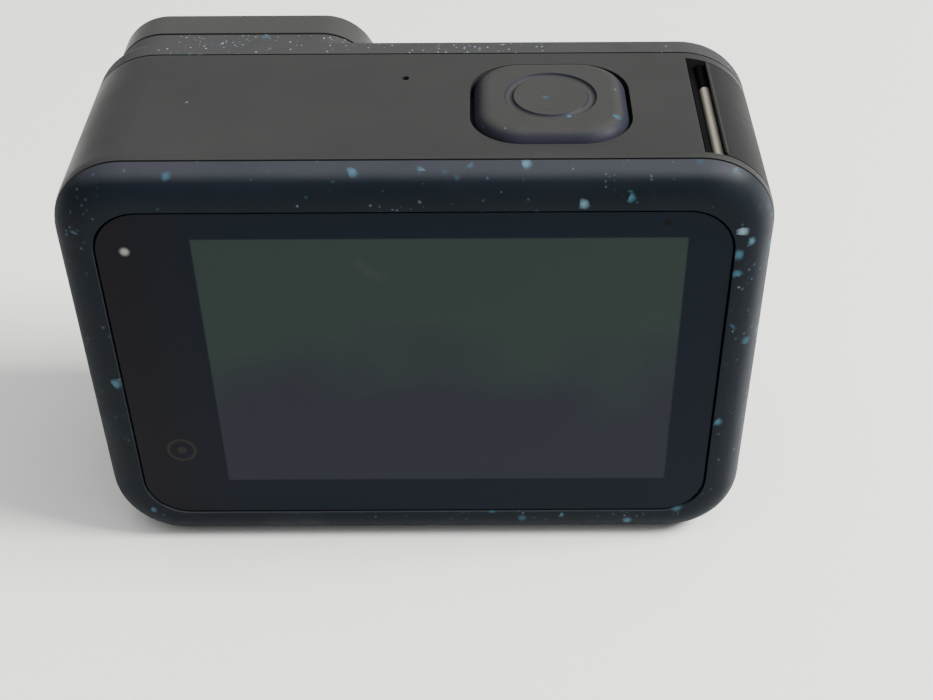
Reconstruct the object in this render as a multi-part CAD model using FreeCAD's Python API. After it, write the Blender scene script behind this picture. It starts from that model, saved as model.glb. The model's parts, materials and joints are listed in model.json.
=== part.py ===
"""Action camera, as separate pieces. Millimetres.

+X is to the right seen from the screen side, +Y points forward along the lens, +Z is up.
The origin is the mouth of the tripod thread, in the middle of the base.
"""
import FreeCAD, Part
import math
import os
from FreeCAD import Vector

# Overall casing
body_width = 71.8
body_height = 50.0
body_depth = 27.6
corner_r = 8.0
rear_edge_r = 3.8
front_edge_r = 2.0
rear_shell_depth = 2.7
front_shell_depth = 4.0
frame_wall = 1.8
front_wall = 1.6
seam_gap = 0.2
seam_depth = 0.8
fit_gap = 0.15          # between a loose piece and its pocket
running_gap = 0.05      # radial, round a shaft that turns or slides

# Rear screen
glass_width = 63.2
glass_height = 40.9
glass_base_z = 4.6
glass_corner_r = 4.8
glass_thickness = 0.8
glass_recess = 0.15
gasket_thickness = 0.15
ledge_width = 2.0
lcd_width = 49.0
lcd_height = 32.8
lcd_centre_x = 2.5
lcd_base_z = 9.6
bracket_thickness = 0.5
bracket_overlap = 0.9
led_r = 0.5
rear_led_x = -28.6
rear_led_z = 41.0

# Lens bump and twist-off lens cover
bump_width = 28.9
bump_corner_r = 5.9
bump_side_inset = 2.0
bump_top_inset = 0.1
pad_height = 1.0
cover_depth = 4.9
cover_gap = 0.1
cover_edge_r = 1.0
cover_glass_width = 24.4
cover_glass_corner_r = 4.2
cover_glass_thickness = 1.2
cover_glass_recess = 0.2
cover_cavity_r = 10.6
spigot_r = 11.3
spigot_length = 2.2
lug_height = 0.8
lug_width = 0.8
lug_angle = 22.0
lug_count = 4

# Lens and sensor
holder_r = 9.5
holder_flange_r = 13.2
holder_flange_thickness = 1.6
holder_depth = 10.5
barrel_r = 8.6
barrel_front_y = 18.0
barrel_wall = 1.1
front_element_depth = 3.2
element_r = 5.5
element_thickness = 1.8
retaining_ring_width = 0.7
retaining_ring_depth = 0.5
filter_size = 10.0
filter_thickness = 0.5
sensor_width = 9.6
sensor_height = 7.6
sensor_thickness = 1.0
sensor_board_width = 18.0
sensor_board_height = 16.0
board_thickness = 1.0
spreader_thickness = 1.0
spreader_width = 18.4
spreader_height = 20.0

# Front display
window_width = 33.6
window_height = 29.0
window_corner_r = 3.5
window_thickness = 0.7
window_centre_x = 15.0
window_top_inset = 3.5
window_ledge = 1.2

# Shutter button
shutter_x = 13.7
shutter_y = -0.65
shutter_width = 15.7
shutter_length = 15.4
shutter_corner_r = 5.0
shutter_proud = 0.8
shutter_cap = 2.0
shutter_edge_r = 1.7
shutter_moat = 0.3
shutter_travel = 0.6
shutter_dish_r = 4.3
shutter_dish_depth = 0.12
shutter_ring_r = 4.2       # the groove round the dish
shutter_groove_r = 0.55
shutter_groove_depth = 0.28
shutter_stem_r = 2.0
shutter_boss_edge = 1.0   # how far the thicker frame reaches past the cap

# Mode button
mode_y = -0.5
mode_z = 29.0
mode_length = 8.4
mode_height = 12.0
mode_corner_r = 3.6
mode_proud = 0.5
mode_cap = 1.5
mode_edge_r = 0.45
mode_travel = 0.5
mode_stem_r = 1.6

# Button stacks
press_room = 0.1
button_floor = 0.8
stem_hole_gap = 0.2
stem_length = 1.9
button_seal_width = 0.9
button_seal_height = 0.5
switch_size = 4.5
switch_height = 1.2

# Side door and its hinge
door_thickness = 2.2
door_rear_y = -10.1
door_front_y = 8.4
door_base_z = 6.0
door_lip_inset = 5.4      # from the casing's side to the edge of the door's top lip
pin_side_inset = 6.0
pin_top_inset = 1.3
pin_r = 0.5
hinge_slot_width = 2.2
clip_wall = 0.6
gasket_height = 0.6
door_gasket_width = 0.8
door_gasket_gap = 0.05
collar_thickness = 0.9
collar_roof = 1.15
door_window_inset = 1.2
door_window_base_z = 10.8
door_window_top_inset = 5.8
latch_width = 9.0
latch_height = 6.5
latch_depth = 1.4
latch_proud = 0.2
latch_travel = 2.0
latch_base_z = 8.5
spring_wire_r = 0.14
spring_r = 0.42
spring_turns = 4

# Battery bay
battery_length = 40.0
battery_thickness = 11.9
battery_height = 33.0
battery_end_gap = 0.5
battery_clearance = 0.2
tray_wall = 0.6
contact_size = 1.6
contact_pitch = 2.6
contact_count = 4
tab_width = 7.0
tab_thickness = 0.3

# Electronics
board_tray_step = 4.85    # from the battery tray's end to the main board's end
board_base_z = 9.0
board_top_inset = 5.6
main_board_rear_y = 9.0
shield_width = 19.0
shield_base_z = 14.0
shield_top_z = 40.0
shield_depth = 2.4
shield_wall = 0.3
processor_size = 12.0
processor_thickness = 1.2
usb_depth = 3.2
usb_height = 9.0
usb_length = 8.0
usb_base_z = 13.0
usb_wall = 0.3
card_length = 15.0
card_height = 11.0
card_thickness = 1.0
card_base_z = 27.2
card_travel = 0.8
card_reach = 2.2
socket_wall = 0.6
card_gap = 0.1
speaker_thickness = 4.0
speaker_length = 11.0
speaker_height = 10.0
speaker_base_z = 7.0
mesh_thickness = 0.4
slot_count = 3
slot_height = 1.0
slot_length = 6.0
slot_pitch = 2.4
mic_hole_r = 0.4
mic_size = 3.0
mic_thickness = 1.0
membrane_r = 1.2
membrane_thickness = 0.2
mic_x = -1.2
mic_y = 4.5
antenna_size = 12.0
antenna_thickness = 2.0
antenna_x = -22.0
antenna_y = -2.0
flex_width = 6.0
flex_thickness = 0.2
flex_base_z = 20.0

# Base: tripod thread and fold-out mounting fingers
thread_r = 2.55
thread_depth = 6.4
insert_r = 4.0
insert_height = 7.2
insert_boss_wall = 1.2
finger_pivot_x = 3.1
finger_thickness = 3.0
finger_half_width = 7.4
finger_reach = 10.6
finger_hole_r = 2.6
finger_pin_r = 0.75
finger_pin_grip = 1.2
island_half_x = 4.7
island_half_y = 4.6
finger_gap = 0.3
finger_roof_gap = 0.2
recess_roof = 1.2

# Screws
screw_r = 0.7
screw_head_r = 1.1
screw_head_height = 0.7
screw_post_r = 1.5
screw_bite = 1.2
post_length = 3.0
post_side_inset = 4.2
post_base_z = 4.2
post_bay_gap = 1.8        # from a right-hand post's axis to the battery bay's wall
post_sink = 0.3           # how far a post under the ceiling sinks into it

# Worked out from the sizes above
half_width = body_width / 2
door_lip_x = half_width - door_lip_inset
pin_x = half_width - pin_side_inset
pin_z = body_height - pin_top_inset
door_window_top_z = body_height - door_window_top_inset
board_top_z = body_height - board_top_inset
rear_y = -body_depth / 2
front_y = body_depth / 2
rear_seam_y = rear_y + rear_shell_depth
front_seam_y = front_y - front_shell_depth
inner_front_y = front_y - front_wall
ceiling_z = body_height - frame_wall
glass_front_y = rear_y + glass_recess + glass_thickness
ledge_y = glass_front_y + gasket_thickness
glass_x0 = -glass_width / 2
glass_x1 = glass_width / 2
glass_z0 = glass_base_z
glass_z1 = glass_base_z + glass_height
lens_x = -half_width + bump_side_inset + bump_width / 2
lens_z = body_height - bump_top_inset - bump_width / 2
pad_y = front_y + pad_height
cover_rear_y = pad_y + cover_gap
cover_front_y = cover_rear_y + cover_depth
spigot_rear_y = pad_y - spigot_length
window_front_y = front_y - glass_recess
window_rear_y = window_front_y - window_thickness
window_x0 = window_centre_x - window_width / 2
window_x1 = window_centre_x + window_width / 2
window_z1 = body_height - window_top_inset
window_z0 = window_z1 - window_height
door_inner_x = half_width - door_thickness
collar_x = door_inner_x - gasket_height - door_gasket_gap
collar_inset = half_width - collar_x
bay_x = collar_x - collar_thickness
bay_roof_z = body_height - collar_inset - collar_roof
door_window_y0 = door_rear_y + door_window_inset
door_window_y1 = door_front_y - door_window_inset + 0.1
battery_x1 = bay_x - battery_end_gap
battery_x0 = battery_x1 - battery_length
battery_y0 = door_window_y0 + battery_clearance
battery_y1 = battery_y0 + battery_thickness
battery_z0 = (door_window_base_z + door_window_top_z - battery_height) / 2
battery_z1 = battery_z0 + battery_height
tray_x0 = battery_x0 - contact_size / 4 - tray_wall
board_left_x = tray_x0 + board_tray_step
tray_y0 = battery_y0 - battery_clearance - tray_wall
tray_y1 = battery_y1 + battery_clearance + tray_wall
tray_z0 = battery_z0 - battery_clearance - tray_wall
tray_z1 = battery_z1 + battery_clearance + tray_wall
board_front_y = main_board_rear_y + board_thickness
finger_pivot_z = finger_thickness / 2
recess_top_z = finger_thickness + finger_roof_gap
recess_half_y = finger_half_width + finger_gap
recess_half_x = finger_pivot_x + finger_reach + finger_half_width + finger_gap + 0.2
finger_cut_y = island_half_y + finger_gap
finger_cut_x = finger_pivot_x + math.hypot(finger_pivot_z, island_half_x - finger_pivot_x + finger_gap)
shutter_cap_z = body_height + shutter_proud - shutter_cap
shutter_floor_z = shutter_cap_z - shutter_travel - press_room
mode_cap_x = -(half_width + mode_proud - mode_cap)
mode_floor_x = mode_cap_x + mode_travel + press_room
post_left_x = -(half_width - post_side_inset)
post_right_x = bay_x - post_bay_gap
post_ceiling_z = ceiling_z - screw_post_r + post_sink
post_middle_x = shutter_x + shutter_width / 2 + shutter_boss_edge + screw_post_r + 0.5
post_top_z = body_height - post_base_z


def point(axis, a, b, c):
    """A point whose third value lies along the named axis; a and b are the other two, in X, Y, Z order."""
    if axis == "x":
        return Vector(c, a, b)
    if axis == "y":
        return Vector(a, c, b)
    return Vector(a, b, c)


def direction(axis):
    return point(axis, 0, 0, 1)


def rounded(axis, a0, a1, b0, b1, radius, low, high):
    """A prism along an axis with a rounded rectangle as its section."""
    corners = [(a1, b0, 1, -1), (a1, b1, 1, 1), (a0, b1, -1, 1), (a0, b0, -1, -1)]
    bend = radius * (1 - math.sqrt(0.5))
    edges = []
    previous = None
    first = None
    for index, (a, b, sa, sb) in enumerate(corners):
        along_a = point(axis, a - sa * radius, b, low)
        along_b = point(axis, a, b - sb * radius, low)
        middle = point(axis, a - sa * bend, b - sb * bend, low)
        enter, leave = (along_a, along_b) if index % 2 == 0 else (along_b, along_a)
        if previous is not None:
            edges.append(Part.makeLine(previous, enter))
        else:
            first = enter
        edges.append(Part.Arc(enter, middle, leave).toShape())
        previous = leave
    edges.append(Part.makeLine(previous, first))
    face = Part.Face(Part.Wire(edges))
    return face.extrude(direction(axis) * (high - low))


def box(x0, x1, y0, y1, z0, z1):
    return Part.makeBox(x1 - x0, y1 - y0, z1 - z0, Vector(x0, y0, z0))


def rod(axis, a, b, radius, low, high):
    """A cylinder along an axis, centred on a and b."""
    return Part.makeCylinder(radius, high - low, point(axis, a, b, low), direction(axis))


def tube(axis, a, b, outer, inner, low, high):
    return rod(axis, a, b, outer, low, high).cut(rod(axis, a, b, inner, low, high))


def fuse(pieces):
    return pieces[0].multiFuse(pieces[1:]).removeSplitter() if len(pieces) > 1 else pieces[0]


def edges_on(shape, axis, value):
    """The edges that lie in the plane where the axis has this value."""
    found = []
    for edge in shape.Edges:
        bounds = edge.BoundBox
        low = {"x": bounds.XMin, "y": bounds.YMin, "z": bounds.ZMin}[axis]
        high = {"x": bounds.XMax, "y": bounds.YMax, "z": bounds.ZMax}[axis]
        if abs(low - value) < 1e-4 and abs(high - value) < 1e-4:
            found.append(edge)
    return found


def round_plane(shape, axis, value, radius):
    return shape.makeFillet(radius, edges_on(shape, axis, value))


def inset_casing(inset, low, high):
    """The casing's outline drawn in by an inset, along Y."""
    return rounded("y", -half_width + inset, half_width - inset, inset, body_height - inset,
                   corner_r - inset, low, high)


def casing():
    solid = inset_casing(0, rear_y, front_y)
    solid = round_plane(solid, "y", rear_y, rear_edge_r)
    return round_plane(solid, "y", front_y, front_edge_r)


def seam_groove(seam_y):
    low = seam_y - seam_gap / 2
    high = seam_y + seam_gap / 2
    return inset_casing(-1, low, high).cut(inset_casing(seam_depth, low, high))


def glass_outline(grow, low, high):
    return rounded("y", glass_x0 - grow, glass_x1 + grow, glass_z0 - grow, glass_z1 + grow,
                   glass_corner_r + grow, low, high)


def lcd_outline(low, high):
    return box(lcd_centre_x - lcd_width / 2, lcd_centre_x + lcd_width / 2, low, high,
               lcd_base_z, lcd_base_z + lcd_height)


def bump_outline(grow, radius, low, high):
    half = bump_width / 2 + grow
    return rounded("y", lens_x - half, lens_x + half, lens_z - half, lens_z + half, radius, low, high)


def window_outline(grow, low, high):
    return rounded("y", window_x0 - grow, window_x1 + grow, window_z0 - grow, window_z1 + grow,
                   window_corner_r + grow, low, high)


def lens_rod(radius, low, high):
    return rod("y", lens_x, lens_z, radius, low, high)


def lens_tube(outer, inner, low, high):
    return tube("y", lens_x, lens_z, outer, inner, low, high)


def lens_sectors(outer, inner, low, high, angle, start):
    """Equal sectors of a ring round the lens axis."""
    sectors = []
    centre = Vector(lens_x, 0, lens_z)
    for index in range(lug_count):
        ring = Part.makePolygon([Vector(lens_x + inner, low, lens_z), Vector(lens_x + outer, low, lens_z),
                                 Vector(lens_x + outer, high, lens_z), Vector(lens_x + inner, high, lens_z),
                                 Vector(lens_x + inner, low, lens_z)])
        sector = Part.Face(ring).revolve(centre, Vector(0, 1, 0), angle)
        sector.rotate(centre, Vector(0, 1, 0), start + index * 360 / lug_count - angle / 2)
        sectors.append(sector)
    return sectors


# Screw places: x and z of each axis
rear_screw_places = [(post_left_x, post_base_z), (post_left_x, post_top_z),
                     (post_right_x, post_base_z), (post_middle_x, post_ceiling_z)]
front_screw_places = [(post_left_x, post_base_z), (post_left_x, post_top_z),
                      (post_right_x, post_base_z), (post_middle_x, post_ceiling_z)]
board_screw_places = [(board_left_x + 2.0, board_base_z + 2.0), (board_left_x + 2.0, board_top_z - 2.0),
                      (bay_x - 3.0, board_base_z + 1.8)]


def screw(x, z, head_y, tip_y):
    """A pan-head screw along Y, its head's seat at head_y."""
    away = 1 if tip_y > head_y else -1
    head_low = min(head_y, head_y - away * screw_head_height)
    shank = rod("y", x, z, screw_r, min(head_y, tip_y), max(head_y, tip_y))
    head = rod("y", x, z, screw_head_r, head_low, head_low + screw_head_height)
    socket_depth = screw_head_height * 0.6
    socket_low = head_low if away > 0 else head_low + screw_head_height - socket_depth
    socket = rod("y", x, z, screw_head_r * 0.45, socket_low, socket_low + socket_depth)
    return shank.fuse(head).cut(socket)


def rear_screws():
    post_end = rear_seam_y + post_length
    return Part.makeCompound([screw(x, z, post_end, rear_seam_y - screw_bite) for x, z in rear_screw_places])


def front_screws():
    post_end = front_seam_y - post_length
    return Part.makeCompound([screw(x, z, post_end, front_seam_y + screw_bite) for x, z in front_screw_places])


def board_screws():
    return Part.makeCompound([screw(x, z, main_board_rear_y, board_front_y + screw_bite)
                              for x, z in board_screw_places])


def rear_shell():
    shell = casing().common(box(-half_width, half_width, rear_y, rear_seam_y, 0, body_height))
    shell = shell.cut(seam_groove(rear_seam_y))
    shell = shell.cut(glass_outline(fit_gap, rear_y, ledge_y))
    shell = shell.cut(glass_outline(-ledge_width, rear_y, rear_seam_y))
    for x, z in rear_screw_places:
        shell = shell.cut(rod("y", x, z, screw_r, rear_seam_y - screw_bite, rear_seam_y))
    return shell


def rear_glass():
    glass = glass_outline(0, rear_y + glass_recess, glass_front_y)
    return glass.makeChamfer(0.12, edges_on(glass, "y", rear_y + glass_recess))


def display_gasket():
    gasket = glass_outline(-0.2, glass_front_y, ledge_y).cut(lcd_outline(glass_front_y, ledge_y))
    return gasket.cut(rod("y", rear_led_x, rear_led_z, led_r, glass_front_y, ledge_y))


def rear_lcd():
    return lcd_outline(glass_front_y, rear_seam_y)


def rear_status_led():
    return rod("y", rear_led_x, rear_led_z, led_r, glass_front_y, rear_seam_y)


def rear_lcd_bracket():
    half = glass_width / 2 - ledge_width + bracket_overlap
    low = post_base_z + screw_post_r + 0.5
    high = glass_z1 - ledge_width + bracket_overlap
    plate = rounded("y", -half, half, low, high, 3.0, rear_seam_y, rear_seam_y + bracket_thickness)
    for x in (-24.0, -14.0):
        plate = plate.cut(rounded("y", x - 3, x + 3, 14, 38, 1.5, rear_seam_y, rear_seam_y + bracket_thickness))
    return plate


def finger_recess():
    recess = rounded("z", -recess_half_x, recess_half_x, -recess_half_y, recess_half_y, 7.0, 0, recess_top_z)
    return recess.cut(box(-island_half_x, island_half_x, -island_half_y, island_half_y, 0, recess_top_z))


def finger_pin_spans():
    """The low and high y of each short pin, on both sides of the island."""
    inner = island_half_y - finger_pin_grip
    outer = recess_half_y + finger_pin_grip
    return [(-outer, -inner), (inner, outer)]


def cavity():
    """The room inside the frame: less the battery bay's hinge roof, and less the finger recess's roof."""
    room = rounded("y", -half_width + frame_wall, bay_x, frame_wall, ceiling_z, 5.0,
                   rear_seam_y - 1, front_seam_y + 1)
    room = room.cut(box(pin_x - hinge_slot_width, bay_x + 1, rear_seam_y - 1, front_seam_y + 1,
                        bay_roof_z, ceiling_z + 1))
    room = room.cut(box(-recess_half_x - recess_roof, recess_half_x + recess_roof,
                        -recess_half_y - recess_roof, recess_half_y + recess_roof,
                        0, recess_top_z + recess_roof))
    return room.cut(rod("z", 0, 0, insert_r + insert_boss_wall, 0, insert_height + 0.6))


def door_region(gap, inset, left_x):
    """The skin of the casing that the door takes up, grown by a gap at its edges."""
    low = door_rear_y - gap
    high = door_front_y + gap
    skin = inset_casing(0, low, high).cut(inset_casing(inset, low - 1, high + 1))
    return skin.common(box(left_x, half_width + 1, low, high, door_base_z - gap, body_height + 1))


def shutter_outline(grow, low, high):
    half_x = shutter_width / 2 + grow
    half_y = shutter_length / 2 + grow
    return rounded("z", shutter_x - half_x, shutter_x + half_x, shutter_y - half_y, shutter_y + half_y,
                   shutter_corner_r + grow, low, high)


def mode_outline(grow, low, high):
    half_y = mode_length / 2 + grow
    half_z = mode_height / 2 + grow
    return rounded("x", mode_y - half_y, mode_y + half_y, mode_z - half_z, mode_z + half_z,
                   mode_corner_r + grow, low, high)


def speaker_slots():
    slots = []
    middle_z = speaker_base_z + speaker_height / 2
    for index in range(slot_count):
        z = middle_z + (index - (slot_count - 1) / 2) * slot_pitch
        slots.append(rounded("x", mode_y - slot_length / 2, mode_y + slot_length / 2, z - slot_height / 2,
                             z + slot_height / 2, slot_height * 0.49, -half_width - 1,
                             -half_width + frame_wall + 1))
    return slots


def speaker_mesh_outline(low, high):
    half_y = slot_length / 2 + 1
    half_z = slot_pitch * slot_count / 2 + 0.4
    middle_z = speaker_base_z + speaker_height / 2
    return box(low, high, mode_y - half_y, mode_y + half_y, middle_z - half_z, middle_z + half_z)


def mid_frame():
    low = rear_seam_y
    high = front_seam_y
    frame = casing().common(box(-half_width, half_width, low, high, 0, body_height))
    frame = frame.cut(cavity())
    # Screw posts, the shutter boss and the mode boss
    added = []
    for places, end, reach in ((rear_screw_places, low, post_length), (front_screw_places, high, -post_length)):
        for x, z in places:
            added.append(rod("y", x, z, screw_post_r, min(end, end + reach), max(end, end + reach)))
    shutter_boss_r = shutter_stem_r + stem_hole_gap + button_seal_width + 1.2
    boss_z = shutter_floor_z - button_floor
    added.append(rod("z", shutter_x, shutter_y, shutter_boss_r, boss_z, shutter_floor_z))
    added.append(shutter_outline(shutter_boss_edge, boss_z, ceiling_z))
    boss_x = mode_floor_x + button_floor + button_seal_height
    added.append(mode_outline(0.8, -half_width + frame_wall / 2, boss_x))
    added = [piece.common(inset_casing(frame_wall / 2, low, high)) for piece in added]
    frame = fuse([frame] + added)
    # Openings
    cuts = [seam_groove(low), seam_groove(high), finger_recess()]
    cuts.append(rod("z", 0, 0, insert_r, 0, insert_height))
    for side in (-1, 1):
        for y0, y1 in finger_pin_spans():
            cuts.append(rod("y", side * finger_pivot_x, finger_pivot_z, finger_pin_r, y0, y1))
    cuts.append(shutter_outline(shutter_moat, shutter_floor_z, body_height + 1))
    cuts.append(rod("z", shutter_x, shutter_y, shutter_stem_r + stem_hole_gap, boss_z - 1, body_height))
    cuts.append(rod("z", shutter_x, shutter_y, shutter_stem_r + stem_hole_gap + button_seal_width,
                    boss_z - 1, boss_z + button_seal_height))
    cuts.append(mode_outline(fit_gap, -half_width - 1, mode_floor_x))
    cuts.append(rod("x", mode_y, mode_z, mode_stem_r + stem_hole_gap, -half_width, boss_x + 1))
    cuts.append(rod("x", mode_y, mode_z, mode_stem_r + stem_hole_gap + button_seal_width,
                    boss_x - button_seal_height, boss_x + 1))
    cuts += speaker_slots()
    cuts.append(speaker_mesh_outline(-half_width + frame_wall - mesh_thickness, -half_width + frame_wall + 0.1))
    cuts.append(rod("z", mic_x, mic_y, mic_hole_r, ceiling_z - 1, body_height + 1))
    cuts.append(door_region(fit_gap, collar_inset, pin_x - 1))
    cuts.append(box(door_lip_x - hinge_slot_width, door_lip_x + 1, door_rear_y - fit_gap,
                    door_front_y + fit_gap, body_height - collar_inset, body_height + 1))
    cuts.append(rounded("x", door_window_y0, door_window_y1, door_window_base_z, door_window_top_z, 1.5,
                        bay_x - 1, half_width))
    cuts.append(rod("y", pin_x, pin_z, pin_r, door_rear_y - 0.8, door_front_y + 0.8))
    for places, end, reach in ((rear_screw_places, low, post_length), (front_screw_places, high, -post_length)):
        head_end = end + reach + math.copysign(screw_head_height, reach)
        for x, z in places:
            cuts.append(rod("y", x, z, screw_r, min(end, end + reach), max(end, end + reach)))
            cuts.append(rod("y", x, z, screw_head_r, min(end + reach, head_end), max(end + reach, head_end)))
    for cut in cuts:
        frame = frame.cut(cut)
    return frame


def front_shell():
    shell = casing().common(box(-half_width, half_width, front_seam_y, front_y, 0, body_height))
    bump = bump_outline(0, bump_corner_r, front_seam_y, pad_y)
    bump = bump.makeFillet(0.4, edges_on(bump, "y", pad_y))
    shell = shell.fuse(bump).removeSplitter()
    shell = shell.cut(inset_casing(frame_wall, front_seam_y, inner_front_y))
    bosses = [rod("y", x, z, screw_post_r, front_seam_y, inner_front_y + 0.1) for x, z in front_screw_places]
    bosses += [rod("y", x, z, screw_post_r, board_front_y, inner_front_y + 0.1)
               for x, z in board_screw_places]
    shell = fuse([shell] + bosses)
    cuts = [seam_groove(front_seam_y)]
    cuts.append(window_outline(fit_gap, window_rear_y, front_y + 1))
    cuts.append(window_outline(-window_ledge, inner_front_y - 1, front_y))
    cuts.append(lens_rod(spigot_r + fit_gap, inner_front_y - 1, pad_y + 1))
    lug_room = spigot_r + lug_height + fit_gap
    lug_front_y = spigot_rear_y + lug_width + fit_gap
    cuts.append(lens_rod(lug_room, inner_front_y - 1, lug_front_y))
    cuts += lens_sectors(lug_room, spigot_r, lug_front_y - 0.1, pad_y + 1, lug_angle + 4, 0)
    for x, z in front_screw_places:
        cuts.append(rod("y", x, z, screw_r, front_seam_y, front_seam_y + screw_bite))
    for x, z in board_screw_places:
        cuts.append(rod("y", x, z, screw_r, board_front_y, board_front_y + screw_bite))
    cuts.append(rod("y", front_led_x(), front_led_z(), led_r, inner_front_y - 1, front_y + 1))
    cuts.append(rod("y", front_mic_x(), front_led_z(), mic_hole_r, inner_front_y - 1, front_y + 1))
    for cut in cuts:
        shell = shell.cut(cut)
    return shell


def front_led_x():
    return window_x1 - window_corner_r


def front_led_z():
    return window_z0 - 4.0


def front_mic_x():
    return window_x0 + window_corner_r


def front_window():
    window = window_outline(0, window_rear_y, window_front_y)
    return window.makeChamfer(0.12, edges_on(window, "y", window_front_y))


def front_lcd():
    return window_outline(-window_ledge - fit_gap, inner_front_y - 0.7, window_rear_y)


def front_status_led():
    return rod("y", front_led_x(), front_led_z(), led_r, board_front_y, front_y - 0.1)


def lens_cover_bezel():
    cover = bump_outline(0, bump_corner_r, cover_rear_y, cover_front_y)
    cover = round_plane(cover, "y", cover_front_y, cover_edge_r)
    cover = cover.fuse(lens_rod(spigot_r, spigot_rear_y, cover_rear_y))
    glass_grow = (cover_glass_width - bump_width) / 2
    glass_front = cover_front_y - cover_glass_recess
    glass_rear = glass_front - cover_glass_thickness
    cover = cover.cut(bump_outline(glass_grow, cover_glass_corner_r, glass_rear, cover_front_y + 1))
    cover = cover.cut(lens_rod(cover_cavity_r, spigot_rear_y - 1, glass_rear))
    lugs = lens_sectors(spigot_r + lug_height, cover_cavity_r, spigot_rear_y, spigot_rear_y + lug_width,
                        lug_angle, 45)
    return fuse([cover] + lugs)


def lens_cover_glass():
    glass_grow = (cover_glass_width - bump_width) / 2
    glass_front = cover_front_y - cover_glass_recess
    glass = bump_outline(glass_grow, cover_glass_corner_r, glass_front - cover_glass_thickness, glass_front)
    return glass.makeChamfer(0.2, edges_on(glass, "y", glass_front))


def lens_cover_seal():
    return lens_tube(cover_cavity_r - running_gap, holder_r, inner_front_y + 0.2, inner_front_y + 1.0)


def lens_holder():
    flange_low = inner_front_y - holder_flange_thickness
    flange = lens_rod(holder_flange_r, flange_low, inner_front_y)
    flange = flange.common(box(-half_width, 0, flange_low, inner_front_y, 0, ceiling_z - 0.1))
    neck = lens_rod(holder_r, inner_front_y - holder_depth, inner_front_y + 2.5)
    holder = fuse([flange, neck])
    bore_low = inner_front_y - holder_depth + 1.0
    holder = holder.cut(lens_rod(barrel_r, bore_low, pad_y + 1))
    return holder.cut(lens_rod(element_r, bore_low - 2, pad_y))


def lens_barrel():
    low = inner_front_y - holder_depth + 1.0
    barrel = lens_rod(barrel_r, low, barrel_front_y)
    barrel = barrel.makeFillet(0.4, edges_on(barrel, "y", barrel_front_y))
    seat_y = barrel_front_y - retaining_ring_depth - front_element_depth
    barrel = barrel.cut(lens_rod(barrel_r - barrel_wall, seat_y, barrel_front_y + 1))
    return barrel.cut(lens_rod(element_r, low - 1, barrel_front_y))


def lens_front_element():
    radius = barrel_r - barrel_wall
    front = barrel_front_y - retaining_ring_depth
    rear = front - front_element_depth
    dome_r = 14.0
    dome = Part.makeSphere(dome_r, Vector(lens_x, front + 0.35 - dome_r, lens_z))
    return lens_rod(radius, rear, front + 1).common(dome)


def lens_retaining_ring():
    outer = barrel_r - barrel_wall
    return lens_tube(outer, outer - retaining_ring_width, barrel_front_y - retaining_ring_depth,
                     barrel_front_y)


def lens_rear_elements():
    low = inner_front_y - holder_depth + 2.5
    return Part.makeCompound([lens_rod(element_r, low + step, low + step + element_thickness)
                              for step in (0, 2 * element_thickness)])


def ir_filter():
    half = filter_size / 2
    rear = inner_front_y - holder_depth
    low = rear - filter_thickness
    return box(lens_x - half, lens_x + half, low, rear, lens_z - half, lens_z + half)


def image_sensor():
    high = inner_front_y - holder_depth - filter_thickness
    return box(lens_x - sensor_width / 2, lens_x + sensor_width / 2, high - sensor_thickness, high,
               lens_z - sensor_height / 2, lens_z + sensor_height / 2)


def sensor_board_y():
    """The rear face of the sensor board."""
    return inner_front_y - holder_depth - filter_thickness - sensor_thickness - board_thickness


def sensor_board():
    low = sensor_board_y()
    return rounded("y", lens_x - sensor_board_width / 2, lens_x + sensor_board_width / 2,
                   lens_z - sensor_board_height / 2, lens_z + sensor_board_height / 2, 1.0,
                   low, low + board_thickness)


def heat_spreader():
    high = sensor_board_y()
    low = high - spreader_thickness
    plate = rounded("y", lens_x - spreader_width / 2, lens_x + spreader_width / 2,
                    lens_z - spreader_height / 2, lens_z + spreader_height / 2, 1.5, low, high)
    for step in (-2, -1, 0, 1, 2):
        x = lens_x + step * 3.2
        plate = plate.cut(box(x - 0.6, x + 0.6, low, low + 0.4, lens_z - 8, lens_z + 8))
    return plate


def shutter_button():
    top = body_height + shutter_proud
    cap = shutter_outline(0, shutter_cap_z, top)
    cap = round_plane(cap, "z", top, shutter_edge_r)
    ball_r = (shutter_dish_r ** 2 + shutter_dish_depth ** 2) / (2 * shutter_dish_depth)
    ball = Part.makeSphere(ball_r, Vector(shutter_x, shutter_y, top + ball_r - shutter_dish_depth))
    cap = cap.cut(ball)
    groove_z = top + shutter_groove_r - shutter_groove_depth
    cap = cap.cut(Part.makeTorus(shutter_ring_r, shutter_groove_r, Vector(shutter_x, shutter_y, groove_z)))
    stem = rod("z", shutter_x, shutter_y, shutter_stem_r, shutter_cap_z - stem_length, shutter_cap_z)
    return cap.fuse(stem)


def shutter_seal():
    low = shutter_floor_z - button_floor
    inner = shutter_stem_r + running_gap
    outer = shutter_stem_r + stem_hole_gap + button_seal_width
    return tube("z", shutter_x, shutter_y, outer, inner, low, low + button_seal_height)


def shutter_switch():
    high = shutter_cap_z - stem_length - shutter_travel - press_room
    half = switch_size / 2
    base = box(shutter_x - half, shutter_x + half, shutter_y - half, shutter_y + half, tray_z1, high - 0.4)
    return base.fuse(rod("z", shutter_x, shutter_y, 1.3, tray_z1, high))


def mode_button():
    outer = -half_width - mode_proud
    cap = mode_outline(0, outer, mode_cap_x)
    cap = round_plane(cap, "x", outer, mode_edge_r)
    length = button_floor + mode_travel + press_room + button_seal_height + 0.5
    return cap.fuse(rod("x", mode_y, mode_z, mode_stem_r, mode_cap_x, mode_cap_x + length))


def mode_seal():
    high = mode_floor_x + button_floor + button_seal_height
    outer = mode_stem_r + stem_hole_gap + button_seal_width
    return tube("x", mode_y, mode_z, outer, mode_stem_r + running_gap, high - button_seal_height, high)


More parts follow.
